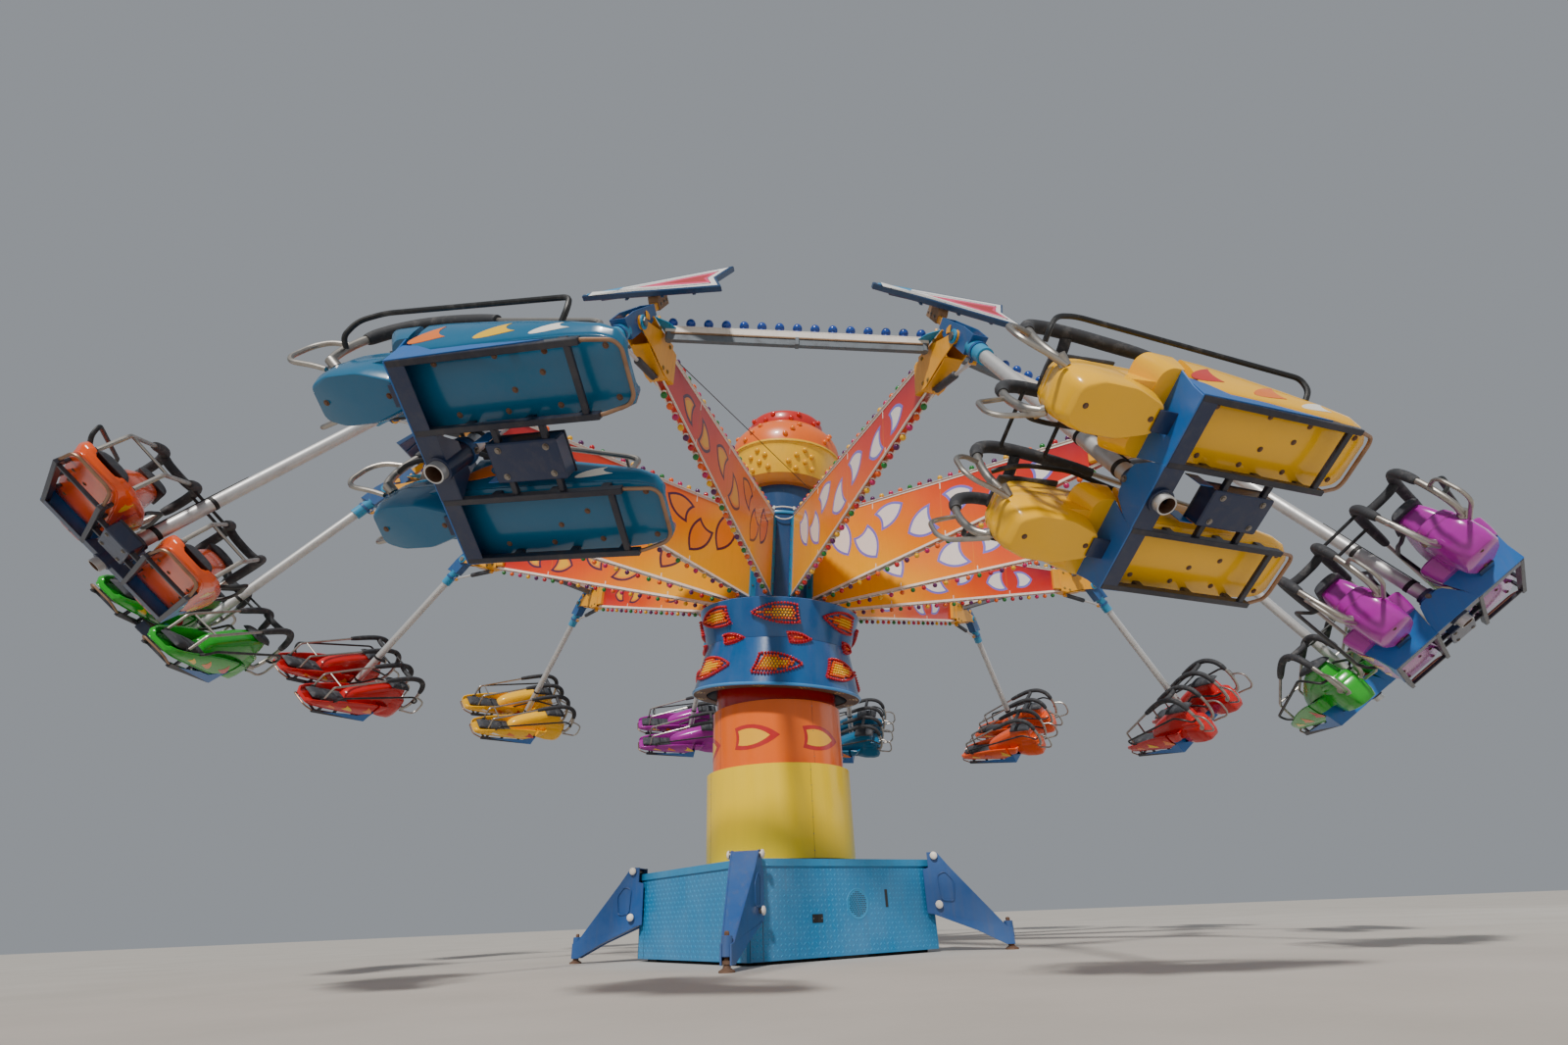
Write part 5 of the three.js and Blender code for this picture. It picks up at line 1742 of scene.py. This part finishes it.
def cushion(long, front, back, thick, creases):
    """Stuffed pad along Y from 0, crowned, its cover puffed by a short cloth run between stitched creases."""
    rows, columns = 30, 16
    last_frame, furthest = 20, 0.010
    verts, faces = [], []
    for layer in (1.0, -0.2):
        for i in range(rows + 1):
            t = i / rows
            for j in range(columns + 1):
                u = -1 + 2 * j / columns
                edge = (1 - abs(u) ** 3.2) ** 0.5 * (1 - abs(2 * t - 1) ** 7) ** 0.5
                dent = sum(0.30 * math.exp(-((t - c) * long / 0.012) ** 2) for c in creases if layer > 0)
                z = layer * thick * (0.12 + 0.88 * edge) * (1 - dent)
                verts.append(((front + (back - front) * t) * u, long * t, z))
    width, top = columns + 1, (rows + 1) * (columns + 1)
    for i in range(rows):
        for j in range(columns):
            a = i * width + j
            faces += [[a, a + 1, a + width + 1, a + width],
                      [top + a, top + a + width, top + a + width + 1, top + a + 1]]
    ring = list(range(columns)) + [i * width + columns for i in range(rows)]
    ring += [rows * width + columns - j for j in range(columns)] + [(rows - i) * width for i in range(rows)]
    faces += [[a, b, b + top, a + top] for a, b in zip(ring, ring[1:] + ring[:1])]
    form = Form()
    form.add((verts, faces), "pad_grey")
    pad = bpy.data.objects.new("pad", form.mesh("pad"))
    bpy.context.scene.collection.objects.link(pad)

    def shaped():
        return bpy.data.meshes.new_from_object(pad.evaluated_get(bpy.context.evaluated_depsgraph_get()))

    grid = pad.modifiers.new("grid", "REMESH")
    grid.mode, grid.voxel_size = "VOXEL", 0.006
    mesh = shaped()
    pad.modifiers.clear()
    pad.data = mesh
    start = [v.co.copy() for v in mesh.vertices]
    held = pad.vertex_groups.new(name="stitched")
    stitched = [v.index for v in mesh.vertices
                if v.co.z < 0 or any(abs(v.co.y - c * long) < 0.006 for c in creases)]
    held.add(stitched, 1.0, "REPLACE")
    cloth = pad.modifiers.new("cover", "CLOTH")
    values = cloth.settings
    values.use_pressure, values.uniform_pressure_force = True, 4.0
    values.vertex_group_mass = "stitched"
    values.effector_weights.gravity = 0.0
    values.tension_stiffness = values.compression_stiffness = 8.0
    values.bending_stiffness = 0.2
    cloth.point_cache.frame_start, cloth.point_cache.frame_end = 1, last_frame
    for step in range(1, last_frame + 1):
        bpy.context.scene.frame_set(step)
    mesh = shaped()
    pad.modifiers.clear()
    pad.data = mesh
    for v, first in zip(mesh.vertices, start):
        move = v.co - first
        if move.length > furthest:
            v.co = first + move.normalized() * furthest
    bpy.context.scene.frame_set(1)
    lighter = pad.modifiers.new("lighter", "DECIMATE")
    lighter.ratio = min(1.0, 2400 / (2 * len(mesh.polygons)))
    mesh = shaped()
    bpy.data.objects.remove(pad)
    mesh.shade_smooth()
    return mesh


def build_swings():
    """Twelve pendulums with their gondolas; shared meshes are built once and copied."""
    forms = {"hanger": pendulum_form(), "kite": kite_form(), "carrier": frame_form(),
             "restraint": restraint_form(), "foam": foam_form()}
    shared = [(name, form, form.mesh(name)) for name, form in forms.items()]
    leaf_sets = {
        "blue": ("orange", "yellow", "white"), "orange": ("yellow", "red", "yellow"),
        "green": ("red", "orange", "yellow"), "red": ("orange", "yellow", "orange"),
        "yellow": ("red", "orange", "white"), "magenta": ("yellow", "orange", "yellow"),
    }
    pods = {}
    for tint, leaves in leaf_sets.items():
        form = pod_form([f"pod_leaf_{leaf}" for leaf in leaves])
        pods[tint] = (form, form.mesh(f"pods_{tint}", 46))
    leg_pad = cushion(0.56, 0.138, 0.100, 0.050, (0.34, 0.67))
    chest_pad = cushion(0.33, 0.092, 0.112, 0.052, (0.5,))
    for number in range(1, ARMS + 1):
        tag = f"{number:02d}"
        body = f"swing_{tag}"
        place = swing_place(number)
        tint = GONDOLA_COLOURS[number - 1]
        for name, form, mesh in shared:
            nodes = [f"pendulum_{tag}"] if name == "hanger" else ()
            piece = set_piece(f"{name}_{tag}", mesh.copy(), body, place, nodes,
                              tints=form.names)
        form, mesh = pods[tint]
        names = [f"pod_{tint}_gel" if n == "shell" else n for n in form.names]
        set_piece(f"pods_{tag}", mesh.copy(), body, place, [f"gondola_{tag}"], tints=names)
        for side, x in (("a", -POD_X), ("b", POD_X)):
            spots = (("leg_pad", leg_pad, 0.310, -2.222), ("chest_pad", chest_pad, -0.452, -1.852))
            for name, mesh, y, z in spots:
                spot = place @ shift(x, y, z)
                pad = set_piece(f"{name}_{tag}{side}", mesh.copy(), body, spot, tints=["pad_grey"])


# Stays, floor, light and camera

def build_stays():
    """Thin steel stay from one sweep's tip over to the next sweep's edge."""
    form = Form()
    one, twelve = arm_place(1), arm_place(12)
    a = one @ Vector((4.02, -0.03, 4.64))
    b = twelve @ Vector((1.20, 0.0, sweep_edge(1.20, True) + 0.004))
    c = twelve @ Vector((1.55, 0.028, sweep_edge(1.55, False)))
    form.add(tube([a, a.lerp(b, 0.5), b], 0.004, 6), "cable_steel")
    form.add(tube([b, b.lerp(c, 0.5), c], 0.004, 6), "cable_steel")
    for p in (a, b, c):
        form.add(tube([p + Vector((0, 0, -0.02)), p + Vector((0, 0, 0.012))], 0.009, 8), "bolt_steel")
    set_piece("stay_cable", form, "rotor")


def build_floor():
    tree, surface = shell("studio_floor")
    tone = blend_colour(tree, ramp(tree, noise(tree, 0.7, 5.0), 0.3, 0.7), linear("b7b2aa"), linear("c2bdb6"))
    tree.links.new(tone, surface.inputs["Base Color"])
    tree.links.new(ramp(tree, noise(tree, 24.0, 4.0), 0.3, 0.7, 0.75, 0.9), surface.inputs["Roughness"])
    mesh = bpy.data.meshes.new("floor")
    size = 90.0
    corners = [(-size, -size, 0), (size, -size, 0), (size, size, 0), (-size, size, 0)]
    mesh.from_pydata(corners, [], [[0, 1, 2, 3]])
    mesh.materials.append(MATERIALS["studio_floor"])
    floor = bpy.data.objects.new("floor", mesh)
    bpy.context.scene.collection.objects.link(floor)


def light(name, kind, place, energy, **values):
    data = bpy.data.lights.new(name, kind)
    data.energy = energy
    for key, value in values.items():
        setattr(data, key, value)
    lamp = bpy.data.objects.new(name, data)
    lamp.location = place
    lamp.rotation_euler = (-Vector(place)).to_track_quat("-Z", "Y").to_euler()
    bpy.context.scene.collection.objects.link(lamp)


def build_light():
    """Pale sky, a sun from behind the camera and two soft fills."""
    world = bpy.data.worlds.new("studio")
    bpy.context.scene.world = world
    world.use_nodes = True
    back = world.node_tree.nodes["Background"]
    back.inputs["Color"].default_value = (0.86, 0.92, 1.0, 1)
    back.inputs["Strength"].default_value = 0.34
    light("key", "SUN", (-10, -8, 12), 3.5, angle=math.radians(4), color=(1.0, 0.96, 0.90))
    light("bounce", "AREA", (2, -9, 0.6), 70, size=14, color=(1.0, 0.93, 0.86))
    light("side", "AREA", (14, -6, 7), 160, size=9, color=(0.95, 0.97, 1.0))


def build_camera():
    data = bpy.data.cameras.new("photo_view")
    data.sensor_width = 36.0
    data.lens = 17.05
    data.clip_start, data.clip_end = 0.05, 200.0
    camera = bpy.data.objects.new("photo_view", data)
    bpy.context.scene.collection.objects.link(camera)
    pitch, roll = math.radians(28.01), math.radians(2.36)
    ahead_flat = Vector((0.5753, 0.8179, 0.0)).normalized()
    right_flat = Vector((ahead_flat.y, -ahead_flat.x, 0.0))
    ahead = ahead_flat * math.cos(pitch) + Vector((0, 0, 1)) * math.sin(pitch)
    up = ahead_flat * -math.sin(pitch) + Vector((0, 0, 1)) * math.cos(pitch)
    right_turned = right_flat * math.cos(roll) - up * math.sin(roll)
    up_turned = right_flat * math.sin(roll) + up * math.cos(roll)
    basis = Matrix((right_turned, up_turned, -ahead)).transposed()
    camera.matrix_world = shift(-4.749, -7.059, 0.339) @ basis.to_4x4()
    bpy.context.scene.camera = camera


build_camera()
make_materials()
build_leads()
build_base()
build_runners()
for spot, degrees in enumerate((-45, 45, 135, -135), 1):
    build_outrigger(spot, degrees)
build_sleeves()
build_head()
build_collar()
build_column()
build_crown()
build_sweeps()
build_swings()
build_stays()
build_floor()
build_light()

bpy.context.view_layer.update()
